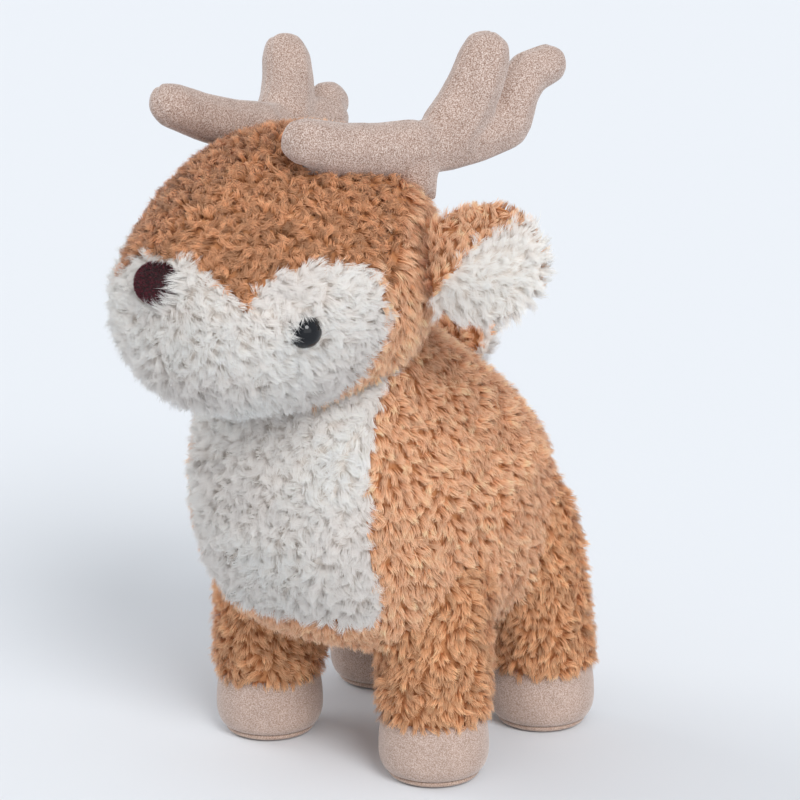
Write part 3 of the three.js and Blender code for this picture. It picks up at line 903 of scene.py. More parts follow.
class PileCoat:
    """Grows the fibres of one pile cloth as narrow tapered ribbons, gathered in tufts."""

    def __init__(self, cut: PileCut, finish: TuftedPile, material: bpy.types.Material) -> None:
        """Keeps how the cloth is cut and finished.

        Args:
            cut: How the pile is tufted and combed.
            finish: The colours of its fibres.
            material: The material built from that finish.
        """
        self.cut = cut
        self.finish = finish
        self.material = material

    def lay_down(self, spots: Spots, rng: np.random.Generator) -> tuple[np.ndarray, np.ndarray]:
        """Runs every fibre's path and says which way its broad side faces.

        Args:
            spots: Where the tufts are sewn.
            rng: The source of chance.

        Returns:
            The points of the paths and the facing there, by tuft, fibre and station.
        """
        cut = self.cut
        tufts, fibres = len(spots.points), cut.fibres
        each_tuft, each_fibre = (tufts, 1, 1, 1), (tufts, fibres, 1, 1)
        drift = cut.drift * wander(spots.points, mm(cut.drift_wave), Waves.COMB)
        turn = np.radians(drift + rng.normal(0.0, cut.stray, tufts))[:, None]
        across = np.cross(spots.normals, spots.comb)
        comb = (spots.comb * np.cos(turn) + across * np.sin(turn))[:, None, None]
        normal = spots.normals[:, None, None]
        across = np.cross(normal, comb)
        lay = np.radians(cut.lay + cut.lay_spread * rng.normal(size=each_tuft))
        bend = cut.bend + cut.bend_spread * rng.normal(size=each_tuft)
        bend = np.radians(np.clip(bend, *cut.bend_range))
        length = 1.0 + cut.length_spread * rng.normal(size=each_tuft)
        length = mm(cut.length) * np.clip(length, *cut.length_range)
        outward = np.sqrt(rng.random(each_fibre))
        angle = 2 * math.pi * rng.random(each_fibre)
        own = 1.0 - cut.shorter * outward**2 + cut.fibre_spread * rng.normal(size=each_fibre)
        own = np.clip(own, *cut.fibre_range)
        along = np.array(cut.shares)[None, None, :, None] * own
        slope = lay + bend * along
        path = normal * (np.sin(slope) - np.sin(lay)) + comb * (np.cos(lay) - np.cos(slope))
        path = path * length / bend
        lower = comb * np.cos(slope) - normal * np.sin(slope)
        side = lower * np.cos(angle) + across * np.sin(angle)
        path = path + side * (mm(cut.spacing) * cut.tuft_fill * outward * (1.0 - cut.gather * along))
        phase = 2 * math.pi * rng.random(each_tuft)
        swing = 2 * math.pi * cut.turns * along + phase
        curl = across * (np.cos(swing) - np.cos(phase)) + lower * (np.sin(swing) - np.sin(phase))
        path = path + curl * mm(cut.curl) * along
        path = path + mm(cut.frizz) * rng.normal(size=(tufts, fibres, 1, 3)) * along**2
        round_form = cut.face_out * side * outward - cut.face_down * lower
        facing = unit(cut.face_up * normal + cut.relief * round_form)
        return spots.points[:, None, None] + path, facing

    def grow(self, name: str, spots: Spots, rng: np.random.Generator) -> bpy.types.Object:
        """Makes the pile on some spots as one piece.

        Args:
            name: The piece's name.
            spots: Where its tufts are sewn.
            rng: The source of chance.

        Returns:
            The pile.
        """
        path, facing = self.lay_down(spots, rng)
        tufts, fibres, stations = path.shape[:3]
        ahead = unit(np.gradient(path, axis=2))
        flat = unit(np.cross(ahead, facing))
        share = np.array(self.cut.shares)
        taper = np.interp(share, self.cut.taper_at, self.cut.taper)[None, None, :, None]
        wide = flat * taper * mm(self.cut.width) / 2
        body = slice(0, stations - 1)
        pairs = np.stack([(path - wide)[:, :, body], (path + wide)[:, :, body]], axis=3)
        rows = pairs.reshape(tufts, fibres, -1, 3)
        points = np.concatenate([rows, path[:, :, -1:]], axis=2).reshape(-1, 3)
        twice = np.repeat(facing[:, :, body], 2, axis=2)
        normals = np.concatenate([twice, facing[:, :, -1:]], axis=2).reshape(-1, 3)
        mesh, index = self._weave(name, points, tufts * fibres, stations)
        mesh.normals_split_custom_set_from_vertices(normals.astype(np.float32))
        place = np.repeat(share, [2] * (stations - 1) + [1])
        self._colour(mesh, place, spots, fibres, rng)
        self._lay_out(mesh, place, tufts, fibres, index)
        return link_object(name, mesh, self.material)

    def cover(
        self, name: str, body: str, slot: str, spots: Spots, rng: np.random.Generator, *nodes: str
    ) -> None:
        """Makes the whole pile on some spots, in as many pieces as its fibres need, from low to high.

        Args:
            name: The pile's name.
            body: The body it rides on.
            slot: The record's material slot.
            spots: Where its tufts are sewn.
            rng: The source of chance.
            *nodes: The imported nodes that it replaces.
        """
        quads = len(self.cut.shares) - 2
        triangles = len(spots.points) * self.cut.fibres * (2 * quads + 1)
        count = math.ceil(triangles / MOST_TRIANGLES)
        for at, band in enumerate(np.array_split(np.argsort(spots.points[:, 2]), count)):
            own = name if count == 1 else f"{name}_{at + 1}"
            finish_piece(self.grow(own, spots.pick(band), rng), body, slot, *nodes)

    @staticmethod
    def _weave(
        name: str, points: np.ndarray, strands: int, stations: int
    ) -> tuple[bpy.types.Mesh, np.ndarray]:
        """Makes the ribbons' mesh: quads up each strand and a triangle at its tip.

        Args:
            name: The mesh's name.
            points: The points, strand by strand, two at each station and one at the tip.
            strands: How many strands there are.
            stations: How many stations each has.

        Returns:
            The mesh, and the number of the point at each corner of its faces.
        """
        each = 2 * stations - 1
        quads = np.array([[2 * k, 2 * k + 1, 2 * k + 3, 2 * k + 2] for k in range(stations - 2)])
        loops = np.concatenate([quads.ravel(), [each - 3, each - 2, each - 1]])
        starts = 4 * np.arange(stations - 1)
        strand = np.arange(strands)[:, None]
        index = (loops[None] + each * strand).ravel().astype(np.int32)
        start = (starts[None] + len(loops) * strand).ravel().astype(np.int32)
        mesh = bpy.data.meshes.new(name)
        mesh.vertices.add(len(points))
        mesh.vertices.foreach_set("co", points.astype(np.float32).ravel())
        mesh.loops.add(len(index))
        mesh.loops.foreach_set("vertex_index", index)
        mesh.polygons.add(len(start))
        mesh.polygons.foreach_set("loop_start", start)
        mesh.polygons.foreach_set("use_smooth", np.ones(len(start), bool))
        mesh.update(calc_edges=True)
        return mesh, index

    def _colour(
        self, mesh: bpy.types.Mesh, place: np.ndarray, spots: Spots, fibres: int, rng: np.random.Generator
    ) -> None:
        """Colours the fibres from root to tip, with darker roots as painted shade deep in the pile.

        Args:
            mesh: The ribbons' mesh.
            place: The share of a fibre at each of its points.
            spots: Where the tufts are sewn.
            fibres: How many fibres each tuft has.
            rng: The source of chance.
        """
        tufts = len(spots.points)
        shape = (tufts, fibres, len(place))
        tuft = np.broadcast_to(rng.normal(size=(tufts, 1, 1)), shape)
        fibre = np.broadcast_to(rng.normal(size=(tufts, fibres, 1)), shape)
        patch = wander(spots.points, mm(self.cut.patch_wave), Waves.PATCH)
        patch = np.broadcast_to(patch[:, None, None], shape)
        colour = self.finish.shade(np.broadcast_to(place, shape), tuft, fibre, patch)
        layer = mesh.color_attributes.new("PileColour", "FLOAT_COLOR", "POINT")
        layer.data.foreach_set("color", colour.astype(np.float32).ravel())

    @staticmethod
    def _lay_out(
        mesh: bpy.types.Mesh, place: np.ndarray, tufts: int, fibres: int, index: np.ndarray
    ) -> None:
        """Gives each tuft a cell of the map, with its fibres side by side from root to tip.

        Args:
            mesh: The ribbons' mesh.
            place: The share of a fibre at each of its points.
            tufts: How many tufts there are.
            fibres: How many fibres each tuft has.
            index: The number of the point at each corner of the mesh's faces.
        """
        margin, room, half_fibre = 0.08, 0.84, 0.3
        cells = math.ceil(math.sqrt(tufts))
        tuft = np.arange(tufts)[:, None, None]
        fibre = np.arange(fibres)[None, :, None]
        side = np.array([-half_fibre, half_fibre] * ((len(place) - 1) // 2) + [0.0])[None, None]
        u = (tuft % cells + margin + room * (fibre + 0.5 + side) / fibres) / cells
        v = (tuft // cells + margin + room * place[None, None]) / cells
        shape = (tufts, fibres, len(place))
        flat = np.stack([np.broadcast_to(u, shape), np.broadcast_to(v, shape)], axis=-1).reshape(-1, 2)
        layer = mesh.uv_layers.new(name="OFBake")
        layer.data.foreach_set("uv", flat[index].astype(np.float32).ravel())


def panel_reach(points: np.ndarray, panels: tuple[str, ...]) -> np.ndarray:
    """Measures how far points lie from each of some sewn panels.

    Args:
        points: The points.
        panels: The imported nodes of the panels.

    Returns:
        The distances in metres, by panel and point.
    """
    places = [Vector(point) for point in points]
    trees = [surface_tree(panel) for panel in panels]
    return np.array([[tree.find_nearest(place)[3] for place in places] for tree in trees])


def face_spots(mesh: bpy.types.Mesh) -> Spots:
    """Takes the middles of a mesh's faces as spots.

    Args:
        mesh: The mesh.

    Returns:
        The spots, not combed.
    """
    centres = np.empty(len(mesh.polygons) * 3)
    normals = np.empty(len(mesh.polygons) * 3)
    mesh.polygons.foreach_get("center", centres)
    mesh.polygons.foreach_get("normal", normals)
    return Spots(centres.reshape(-1, 3), normals.reshape(-1, 3), np.zeros((len(mesh.polygons), 3)))


def line_with(mesh: bpy.types.Mesh, cloth: bpy.types.Material, chosen: np.ndarray) -> None:
    """Gives the chosen faces of a backing a second cloth.

    Args:
        mesh: The backing's mesh.
        cloth: The second cloth's material.
        chosen: Which faces have it.
    """
    mesh.materials.append(cloth)
    mesh.polygons.foreach_set("material_index", chosen.astype(np.int32))


class Kit:
    """The built finishes, made once and shared by the pieces."""

    def __init__(self) -> None:
        """Builds each finish's material."""
        self.tan_pile = TAN_PILE.build()
        self.shaded_leg_pile = SHADED_LEG_PILE.build()
        self.crown_pile = CROWN_PILE.build()
        self.white_pile = WHITE_PILE.build()
        self.nose_flock = NOSE_FLOCK.build()
        self.tan_backing = TAN_BACKING.build()
        self.white_backing = WHITE_BACKING.build()
        self.antler = ANTLER_SUEDE.build()
        self.hoof = HOOF_SUEDE.build()
        self.sole = SOLE_SUEDE.build()
        self.eye = EYE_ACRYLIC.build()
        self.nose = NOSE_CORE.build()
        self.washer = WASHER_NYLON.build()

    def tan(self, cut: PileCut) -> PileCoat:
        """A tan coat with a given cut."""
        return PileCoat(cut, TAN_PILE, self.tan_pile)

    def sleeve(self, cut: PileCut) -> PileCoat:
        """A tan coat in darker colours, painted shade for the legs, with a given cut."""
        return PileCoat(cut, SHADED_LEG_PILE, self.shaded_leg_pile)

    def crown(self, cut: PileCut) -> PileCoat:
        """A curly tan coat with a given cut."""
        return PileCoat(cut, CROWN_PILE, self.crown_pile)

    def white(self, cut: PileCut) -> PileCoat:
        """A white coat with a given cut."""
        return PileCoat(cut, WHITE_PILE, self.white_pile)

    def flock(self, cut: PileCut) -> PileCoat:
        """A brown flock with a given cut."""
        return PileCoat(cut, NOSE_FLOCK, self.nose_flock)


# Sub-assemblies


@dataclass
class Torso:
    """The body and the four legs: one backing, and a pile for each sewn panel.

    No pile is sewn below the hem, nor under a leg's end within the foot's room over it, nor in the neck, but
    for a narrow overlap with the head.
    """

    depth: float = mm(2.8)
    voxel: float = mm(2.6)
    rounds: int = 14
    hem: float = mm(25.0)
    foot_room: float = mm(8)
    foot_facing: float = -0.5
    neck_overlap: float = mm(4)
    comb: tuple[float, float, float] = (0.0, 0.25, -1.0)
    fur: PileCut = PileCut(
        length=5.6, spacing=2.1, fibres=24, width=0.16, lay=10, bend=97, stray=24, drift=34, gather=0.15,
        curl=0.35, turns=0.8, frizz=0.55, relief=0.8,
    )
    bib: PileCut = PileCut(
        length=5.8, spacing=2.6, fibres=40, width=0.15, lay=4, bend=104, stray=60, drift=50, gather=-0.1,
        curl=0.5, turns=0.8, frizz=0.7, relief=0.12,
    )
    skin: Skin = field(init=False)

    def panels(self) -> tuple[str, ...]:
        """The sewn panels: the white bib first, then the tan ones."""
        sleeves = tuple(f"{leg}_sleeve" for leg in LEGS)
        return ("chest_bib", "belly_panel", *(f"body_side_{side}" for side in SIDES), *sleeves)

    def back(self, kit: Kit) -> None:
        """Makes the backing.

        Args:
            kit: The built finishes.
        """
        nodes = (*self.panels(), "body_filling")
        self.skin = draw_skin(
            "torso_backing", nodes, kit.tan_backing, self.voxel, self.rounds, self.depth
        )
        mesh = self.skin.made.data
        reach = panel_reach(face_spots(mesh).over(self.depth), self.panels())
        line_with(mesh, kit.white_backing, reach.argmin(axis=0) == 0)
        finish_piece(self.skin.made, "deer", "fibre_filling", "body_filling")

    def cover(self, kit: Kit, head: Skin, rng: np.random.Generator) -> None:
        """Grows the piles.

        Args:
            kit: The built finishes.
            head: The backing of the head, which hides the neck.
            rng: The source of chance.
        """
        spots = scatter(self.skin.made.data, mm(self.fur.spacing), rng)
        height, facing = spots.points[:, 2], spots.normals[:, 2]
        foot = (height < self.hem + self.foot_room) & (facing < self.foot_facing)
        spots = spots.pick(~foot & (height > self.hem))
        spots = spots.pick(head.signed(spots.over(self.depth)) > -self.neck_overlap)
        spots = spots.combed(Comb.ALONG, np.array(self.comb))
        owner = panel_reach(spots.over(self.depth), self.panels()).argmin(axis=0)
        for at, name in enumerate(self.panels()):
            own = spots.pick(owner == at)
            if name == "chest_bib":
                kit.white(self.bib).cover(f"{name}_pile", "deer", "white_pile", own, rng, name)
            else:
                # The legs get the darker pile, which is painted shade under the body.
                coat = kit.sleeve(self.fur) if name.startswith("leg") else kit.tan(self.fur)
                coat.cover(f"{name}_pile", "deer", "tan_pile", own, rng, name)


@dataclass
class Stud:
    """Where a dome on a stem sits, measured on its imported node. Its axis points out of the head."""

    base: np.ndarray
    axis: np.ndarray
    level: np.ndarray
    upright: np.ndarray
    half_width: float
    half_height: float
    rise: float

    RIM: ClassVar[float] = 0.9
    NEAR: ClassVar[float] = mm(14)

    @classmethod
    def measured(cls, node: str) -> "Stud":
        """Measures a stud's place and size.

        Args:
            node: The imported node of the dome.

        Returns:
            The stud, with its base at the edge of the dome.
        """
        washer = vertex_array(frame["nodes"][f"{node}_washer"].data)
        dome = vertex_array(frame["nodes"][node].data)
        centre = (washer.max(axis=0) + washer.min(axis=0)) / 2
        _, directions = np.linalg.eigh(np.cov((washer - washer.mean(axis=0)).T))
        axis = directions[:, 0]
        if (dome.mean(axis=0) - centre) @ axis < 0:
            axis = -axis
        level = unit(np.cross(axis, -DOWN))
        upright = np.cross(level, axis)
        x, y, z = ((dome - centre) @ way for way in (level, upright, axis))
        centre = centre + level * (x.max() + x.min()) / 2 + upright * (y.max() + y.min()) / 2
        half_width, half_height = float(np.ptp(x)) / 2, float(np.ptp(y)) / 2
        x, y = x - (x.max() + x.min()) / 2, y - (y.max() + y.min()) / 2
        foot = z[np.hypot(x / half_width, y / half_height) > cls.RIM].min()
        rise = float(z.max() - foot)
        return cls(centre + axis * foot, axis, level, upright, half_width, half_height, rise)

    def ring(self, points: np.ndarray) -> np.ndarray:
        """Measures how far points lie from the stud's axis.

        Args:
            points: The points.

        Returns:
            The distances, where 1 is the dome's edge. A point that isn't near the dome is at infinity.
        """
        offset = points - self.base
        near = np.abs(offset @ self.axis) < self.NEAR
        level, upright = offset @ self.level, offset @ self.upright
        across = np.hypot(level / self.half_width, upright / self.half_height)
        return np.where(near, across, np.inf)


@dataclass
class Head:
    """The head: one backing, the tan crown, curly on top and smooth at the sides, and the white face.

    The crown is smooth where its cloth faces back and down enough, with a ragged edge. A brim of longer
    hairs lies over one side of the nose and of each eye. Its reach and the bare rings are in dome radii.
    """

    depth: float = mm(2.8)
    voxel: float = mm(2.4)
    rounds: int = 12
    chin_room: float = mm(0.5)
    antler_overlap: float = mm(0.5)
    crest_back: float = mm(45)
    side_facing: tuple[float, float, float] = (0.0, 1.0, -0.6)
    side_from: float = -0.3
    side_ragged: float = 0.1
    side_wave: float = mm(12)
    side_comb: tuple[float, float, float] = (0.0, 0.15, -1.0)
    parting_rise: float = mm(10)
    nose_ring: float = 0.96
    eye_ring: float = 0.8
    nose_brim_reach: float = 1.45
    eye_brim_reach: float = 1.35
    nose_brim_aside: float = 0.9
    brim_turn: float = 0.15
    brim_lift: float = mm(6)
    crown: PileCut = PileCut(
        length=5.2, spacing=1.75, fibres=20, width=0.16, lay=0, bend=122, stray=90, drift=60, gather=0.12,
        curl=0.55, turns=1.2, frizz=0.65,
    )
    side: PileCut = PileCut(
        length=6.4, spacing=1.9, fibres=22, width=0.17, lay=16, bend=84, stray=18, drift=30, gather=0.15,
        curl=0.3, turns=0.7, frizz=0.5, relief=0.7,
    )
    face: PileCut = PileCut(
        length=6.0, spacing=2.1, fibres=30, width=0.15, lay=6, bend=98, stray=45, drift=45, gather=-0.1,
        curl=0.5, turns=0.8, frizz=0.7, relief=0.12,
    )
    nose_brim: PileCut = PileCut(
        length=9.0, spacing=1.7, fibres=14, width=0.15, lay=12, bend=60, stray=18, drift=0, gather=0.1,
        curl=0.2, turns=0.5, frizz=0.8, relief=0.3,
    )
    eye_brim: PileCut = PileCut(
        length=7.2, spacing=1.7, fibres=16, width=0.15, lay=0, bend=72, stray=22, drift=0, gather=0.0,
        curl=0.3, turns=0.6, frizz=0.8, relief=0.3,
    )
    skin: Skin = field(init=False)

    def panels(self) -> tuple[str, ...]:
        """The sewn panels: the white face first, then the tan crown."""
        return tuple(f"{part}_{side}" for part in ("face", "crown") for side in SIDES)

    def back(self, kit: Kit) -> None:
        """Makes the backing.

        Args:
            kit: The built finishes.
        """
        washers = tuple(f"{stud}_washer" for stud in STUDS)
        nodes = (*self.panels(), *STUDS, *washers, "head_filling")
        self.skin = draw_skin("head_backing", nodes, kit.tan_backing, self.voxel, self.rounds, self.depth)
        mesh = self.skin.made.data
        reach = panel_reach(face_spots(mesh).over(self.depth), self.panels())
        line_with(mesh, kit.white_backing, reach.argmin(axis=0) < len(SIDES))
        finish_piece(self.skin.made, "deer", "fibre_filling", "head_filling")

    def cover(self, kit: Kit, torso: Skin, antlers: list[Skin], rng: np.random.Generator) -> None:
        """Grows the piles.

        Args:
            kit: The built finishes.
            torso: The backing of the body, on which the chin rests.
            antlers: The covers of the antlers.
            rng: The source of chance.
        """
        spots = scatter(self.skin.made.data, mm(self.crown.spacing), rng)
        spots = spots.pick(torso.signed(spots.over(self.depth)) > self.chin_room)
        for antler in antlers:
            spots = spots.pick(antler.signed(spots.over(self.depth)) > -self.antler_overlap)
        owner = panel_reach(spots.over(self.depth), self.panels()).argmin(axis=0)
        nose, *eyes = (Stud.measured(stud) for stud in STUDS)
        for at, name in enumerate(self.panels()):
            own = spots.pick(owner == at)
            if name.startswith("face"):
                self._cover_face(kit, name, own, nose, eyes, rng)
            else:
                self._cover_crown(kit, name, own, rng)
        aside = -nose.upright - self.nose_brim_aside * nose.level
        self._brim(kit.white(self.nose_brim), "nose", nose, aside, self.nose_brim_reach, rng)
        for side, eye in zip(SIDES, eyes):
            inner = nose.base - eye.base
            self._brim(kit.white(self.eye_brim), f"eye_{side}", eye, inner, self.eye_brim_reach, rng)

    def _cover_face(
        self, kit: Kit, name: str, own: Spots, nose: Stud, eyes: list[Stud], rng: np.random.Generator
    ) -> None:
        """Grows the pile of one white panel, which leaves the nose and the eyes bare.

        Args:
            kit: The built finishes.
            name: The panel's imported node.
            own: The spots on it.
            nose: Where the nose sits, from above which the pile is combed away.
            eyes: Where the eyes sit.
            rng: The source of chance.
        """
        own = own.pick(nose.ring(own.points) > self.nose_ring)
        for eye in eyes:
            own = own.pick(eye.ring(own.points) > self.eye_ring)
        own = own.combed(Comb.AWAY, nose.base + nose.upright * self.parting_rise)
        kit.white(self.face).cover(f"{name}_pile", "deer", "white_pile", own, rng, name)

    def _cover_crown(self, kit: Kit, name: str, own: Spots, rng: np.random.Generator) -> None:
        """Grows the pile of one tan panel, smooth at the side and curly on top.

        Args:
            kit: The built finishes.
            name: The panel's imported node.
            own: The spots on it.
            rng: The source of chance.
        """
        low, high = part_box("head_filling")
        crest = np.array([(low.x + high.x) / 2, high.y - self.crest_back, high.z])
        edge = self.side_from + self.side_ragged * wander(own.points, self.side_wave, Waves.CROWN_EDGE)
        smooth = own.normals @ unit(np.array(self.side_facing)) > edge
        flat = own.pick(smooth).combed(Comb.ALONG, np.array(self.side_comb))
        curly = own.pick(~smooth).combed(Comb.AWAY, crest)
        kit.tan(self.side).cover(f"{name}_side_pile", "deer", "tan_pile", flat, rng, name)
        kit.crown(self.crown).cover(f"{name}_pile", "deer", "tan_pile", curly, rng, name)

    def _brim(
        self, coat: PileCoat, name: str, stud: Stud, side: np.ndarray, reach: float, rng: np.random.Generator
    ) -> None:
        """Grows the longer hairs that lie over one side of the edge of the nose or an eye.

        Args:
            coat: The pile.
            name: The nose's or the eye's name.
            stud: Where it sits.
            side: The direction from its middle to the middle of the hairs.
            reach: How far out the hairs are sewn, where 1 is its edge.
            rng: The source of chance.
        """
        spots = scatter(self.skin.made.data, mm(coat.cut.spacing), rng)
        ring = stud.ring(spots.points)
        turn = unit(spots.points - stud.base) @ unit(side)
        spots = spots.pick((ring > 1.0) & (ring < reach) & (turn > self.brim_turn))
        spots = spots.combed(Comb.TOWARDS, stud.base + stud.axis * self.brim_lift)
        coat.cover(f"{name}_brim_pile", "deer", "white_pile", spots, rng)


@dataclass
class Buttons:
    """The glossy eyes and the flocked nose.

    A dome's fullness says how far its side stands up before it rounds over, from 0 to 1.
    """

    sides: int = 56
    steps: int = 14
    foot: float = 0.92
    squareness: float = 0.25
    eye_fullness: float = 0.2
    nose_fullness: float = 0.6
    flock_from: float = mm(0.4)
    flock: PileCut = PileCut(
        length=1.0, spacing=0.42, fibres=3, width=0.15, lay=14, bend=20, stray=60, drift=0, gather=0.0,
        curl=0.0, turns=0.0, frizz=0.1, shares=(0.0, 0.6, 1.0),
    )

    def dome(
        self, name: str, stud: Stud, material: bpy.types.Material, fullness: float
    ) -> bpy.types.Object:
        """Turns one dome and sets it on its stud.

        Args:
            name: The piece's name.
            stud: Where it sits.
            material: Its material.
            fullness: How full its side is.

        Returns:
            The dome.
        """
        profile = [(0.0, 0.0), (self.foot, 0.0)]
        for k in range(self.steps):
            angle = k / self.steps * math.pi / 2
            profile.append((math.cos(angle) ** (1 - self.squareness * fullness), math.sin(angle)))
        profile.append((0.0, 1.0))
        made = lathe(name, profile, self.sides, material)
        columns = [stud.level * stud.half_width, stud.upright * stud.half_height, stud.axis * stud.rise]
        place = Matrix.Identity(4)
        for at, column in enumerate([*columns, stud.base]):
            for row in range(3):
                place[row][at] = column[row]
        made.data.transform(place)
        if place.determinant() < 0:
            made.data.flip_normals()
        return made

    def build(self, kit: Kit, rng: np.random.Generator) -> None:
        """Makes the eyes, the nose and its flock, and dresses the washers behind them.

        Args:
            kit: The built finishes.
            rng: The source of chance.
        """
        for side in SIDES:
            stud = Stud.measured(f"eye_{side}")
            eye = self.dome(f"eye_{side}_dome", stud, kit.eye, self.eye_fullness)
            finish_piece(eye, "deer", "eye_gloss", f"eye_{side}")
        stud = Stud.measured("nose")
        nose = self.dome("nose_dome", stud, kit.nose, self.nose_fullness)
        finish_piece(nose, "deer", "nose_flock", "nose")
        spots = scatter(nose.data, mm(self.flock.spacing), rng)
        spots = spots.pick((spots.points - stud.base) @ stud.axis > self.flock_from)
        kit.flock(self.flock).cover("nose_flock", "deer", "nose_flock", spots.combed(Comb.ALONG, DOWN), rng)
        for name in STUDS:
            mesh = frame["nodes"][f"{name}_washer"].data
            mesh.materials.clear()
            mesh.materials.append(kit.washer)


@dataclass
class Flap:
    """A flat flap of two pile cloths that bends at its sewn root.

    The white cloth is turned over the rim by the rim's width, and the two piles overlap there.
    """

    body: str
    tan_node: str
    white_node: str
    depth: float = mm(2.0)
    voxel: float = mm(1.3)
    rounds: int = 5
    rim: float = mm(4.0)
    overlap: float = mm(1.6)
    drop: float = 0.45
    tan: PileCut = PileCut(
        length=5.4, spacing=1.7, fibres=20, width=0.17, lay=16, bend=100, stray=28, drift=30, gather=0.15,
        curl=0.35, turns=0.8, frizz=0.5, relief=0.8,
    )
    white: PileCut = PileCut(
        length=6.2, spacing=1.7, fibres=26, width=0.13, lay=16, bend=84, stray=32, drift=25, gather=-0.1,
        curl=0.4, turns=0.7, frizz=0.7, relief=0.12,
    )

    def place(self) -> tuple[np.ndarray, np.ndarray, np.ndarray]:
        """Finds how the flap hangs on its hinge.

        Returns:
            The root's middle, the way out along the flap and the way up along its root.
        """
        joint = next(j for j in frame["joints"] if j["name"] == f"{self.body}_flap")
        root = np.array(joint["pos_m"], float)
        edge = unit(np.array(joint["axis"], float))
        cloths = [vertex_array(frame["nodes"][node].data) for node in (self.tan_node, self.white_node)]
        out = np.concatenate(cloths).mean(axis=0) - root
        return root, unit(out - (out @ edge) * edge), edge if edge[2] >= 0 else -edge

    def is_white(self, spots: Spots, inset: float) -> np.ndarray:
        """Marks the spots of the white cloth, which is turned over the rim.

        Args:
            spots: The spots on both cloths.
            inset: How far inside the white cloth's edge the marks end, in metres.

        Returns:
            Which spots are marked.
        """
        tan, white = panel_reach(spots.over(self.depth), (self.tan_node, self.white_node))
        return white < tan + self.rim - inset

    def comb_tan(self, spots: Spots) -> Spots:
        """Combs the tan pile outwards and a little down."""
        _, out, _ = self.place()
        return spots.combed(Comb.ALONG, out + self.drop * DOWN)

    def comb_white(self, spots: Spots) -> Spots:
        """Combs the white pile outwards and a little down."""
        return self.comb_tan(spots)

    def build(self, kit: Kit, rng: np.random.Generator) -> None:
        """Makes the backing and both piles of the flap.

        Args:
            kit: The built finishes.
            rng: The source of chance.
        """
        nodes = (self.tan_node, self.white_node)
        skin = draw_skin(
            f"{self.body}_backing", nodes, kit.white_backing, self.voxel, self.rounds, self.depth
        )
        line_with(skin.made.data, kit.tan_backing, ~self.is_white(face_spots(skin.made.data), 0.0))
        spots = scatter(skin.made.data, mm(self.tan.spacing), rng)
        tan = self.comb_tan(spots.pick(~self.is_white(spots, self.overlap)))
        white = self.comb_white(spots.pick(self.is_white(spots, 0.0)))
        for coat, slot, own, node in (
            (kit.tan(self.tan), "tan_pile", tan, self.tan_node),
            (kit.white(self.white), "white_pile", white, self.white_node),
        ):
            coat.cover(f"{node}_pile", self.body, slot, own, rng, node)
        finish_piece(skin.made, self.body, "white_pile")


@dataclass
class Ear(Flap):
    """An ear, whose tan back is turned over the upper edge of the white front.

    The fold's height over the root's middle is given at some places along the ear. The white pile fans up
    and down from a line that is as far below that middle as the fan's drop.
    """

    fold_along: tuple[float, ...] = (mm(0), mm(16), mm(24), mm(32), mm(42))
    fold_height: tuple[float, ...] = (mm(-8), mm(6.5), mm(11), mm(13), mm(20))
    ragged: float = mm(1.2)
    ragged_wave: float = mm(7)
    fan_drop: float = mm(3)
    fan_reach: float = mm(8)
    out_share: float = 0.7

    def is_white(self, spots: Spots, inset: float) -> np.ndarray:
        """Marks the spots of the white cloth, which ends below the fold.

        Args:
            spots: The spots on both cloths.
            inset: How far inside the white cloth's edge the marks end, in metres.

        Returns:
            Which spots are marked.
        """
        root, out, up = self.place()
        along, high = (spots.points - root) @ out, (spots.points - root) @ up
        ragged = self.ragged * wander(spots.points, self.ragged_wave, Waves.FOLD)
        fold = np.interp(along, self.fold_along, self.fold_height) + ragged
        return super().is_white(spots, inset) & (high < fold - inset)

    def comb_tan(self, spots: Spots) -> Spots:
        """Combs the tan pile out and up over the fold."""
        _, out, up = self.place()
        return spots.combed(Comb.ALONG, self.out_share * out + up)

    def comb_white(self, spots: Spots) -> Spots:
        """Combs the white pile out and fans it up and down.

        Args:
            spots: The spots on the white cloth.

        Returns:
            The spots, combed.
        """
        root, out, up = self.place()
        fan = ((spots.points - root) @ up + self.fan_drop) / self.fan_reach
        return spots.combed(Comb.ALONG, out + fan[:, None] * up)


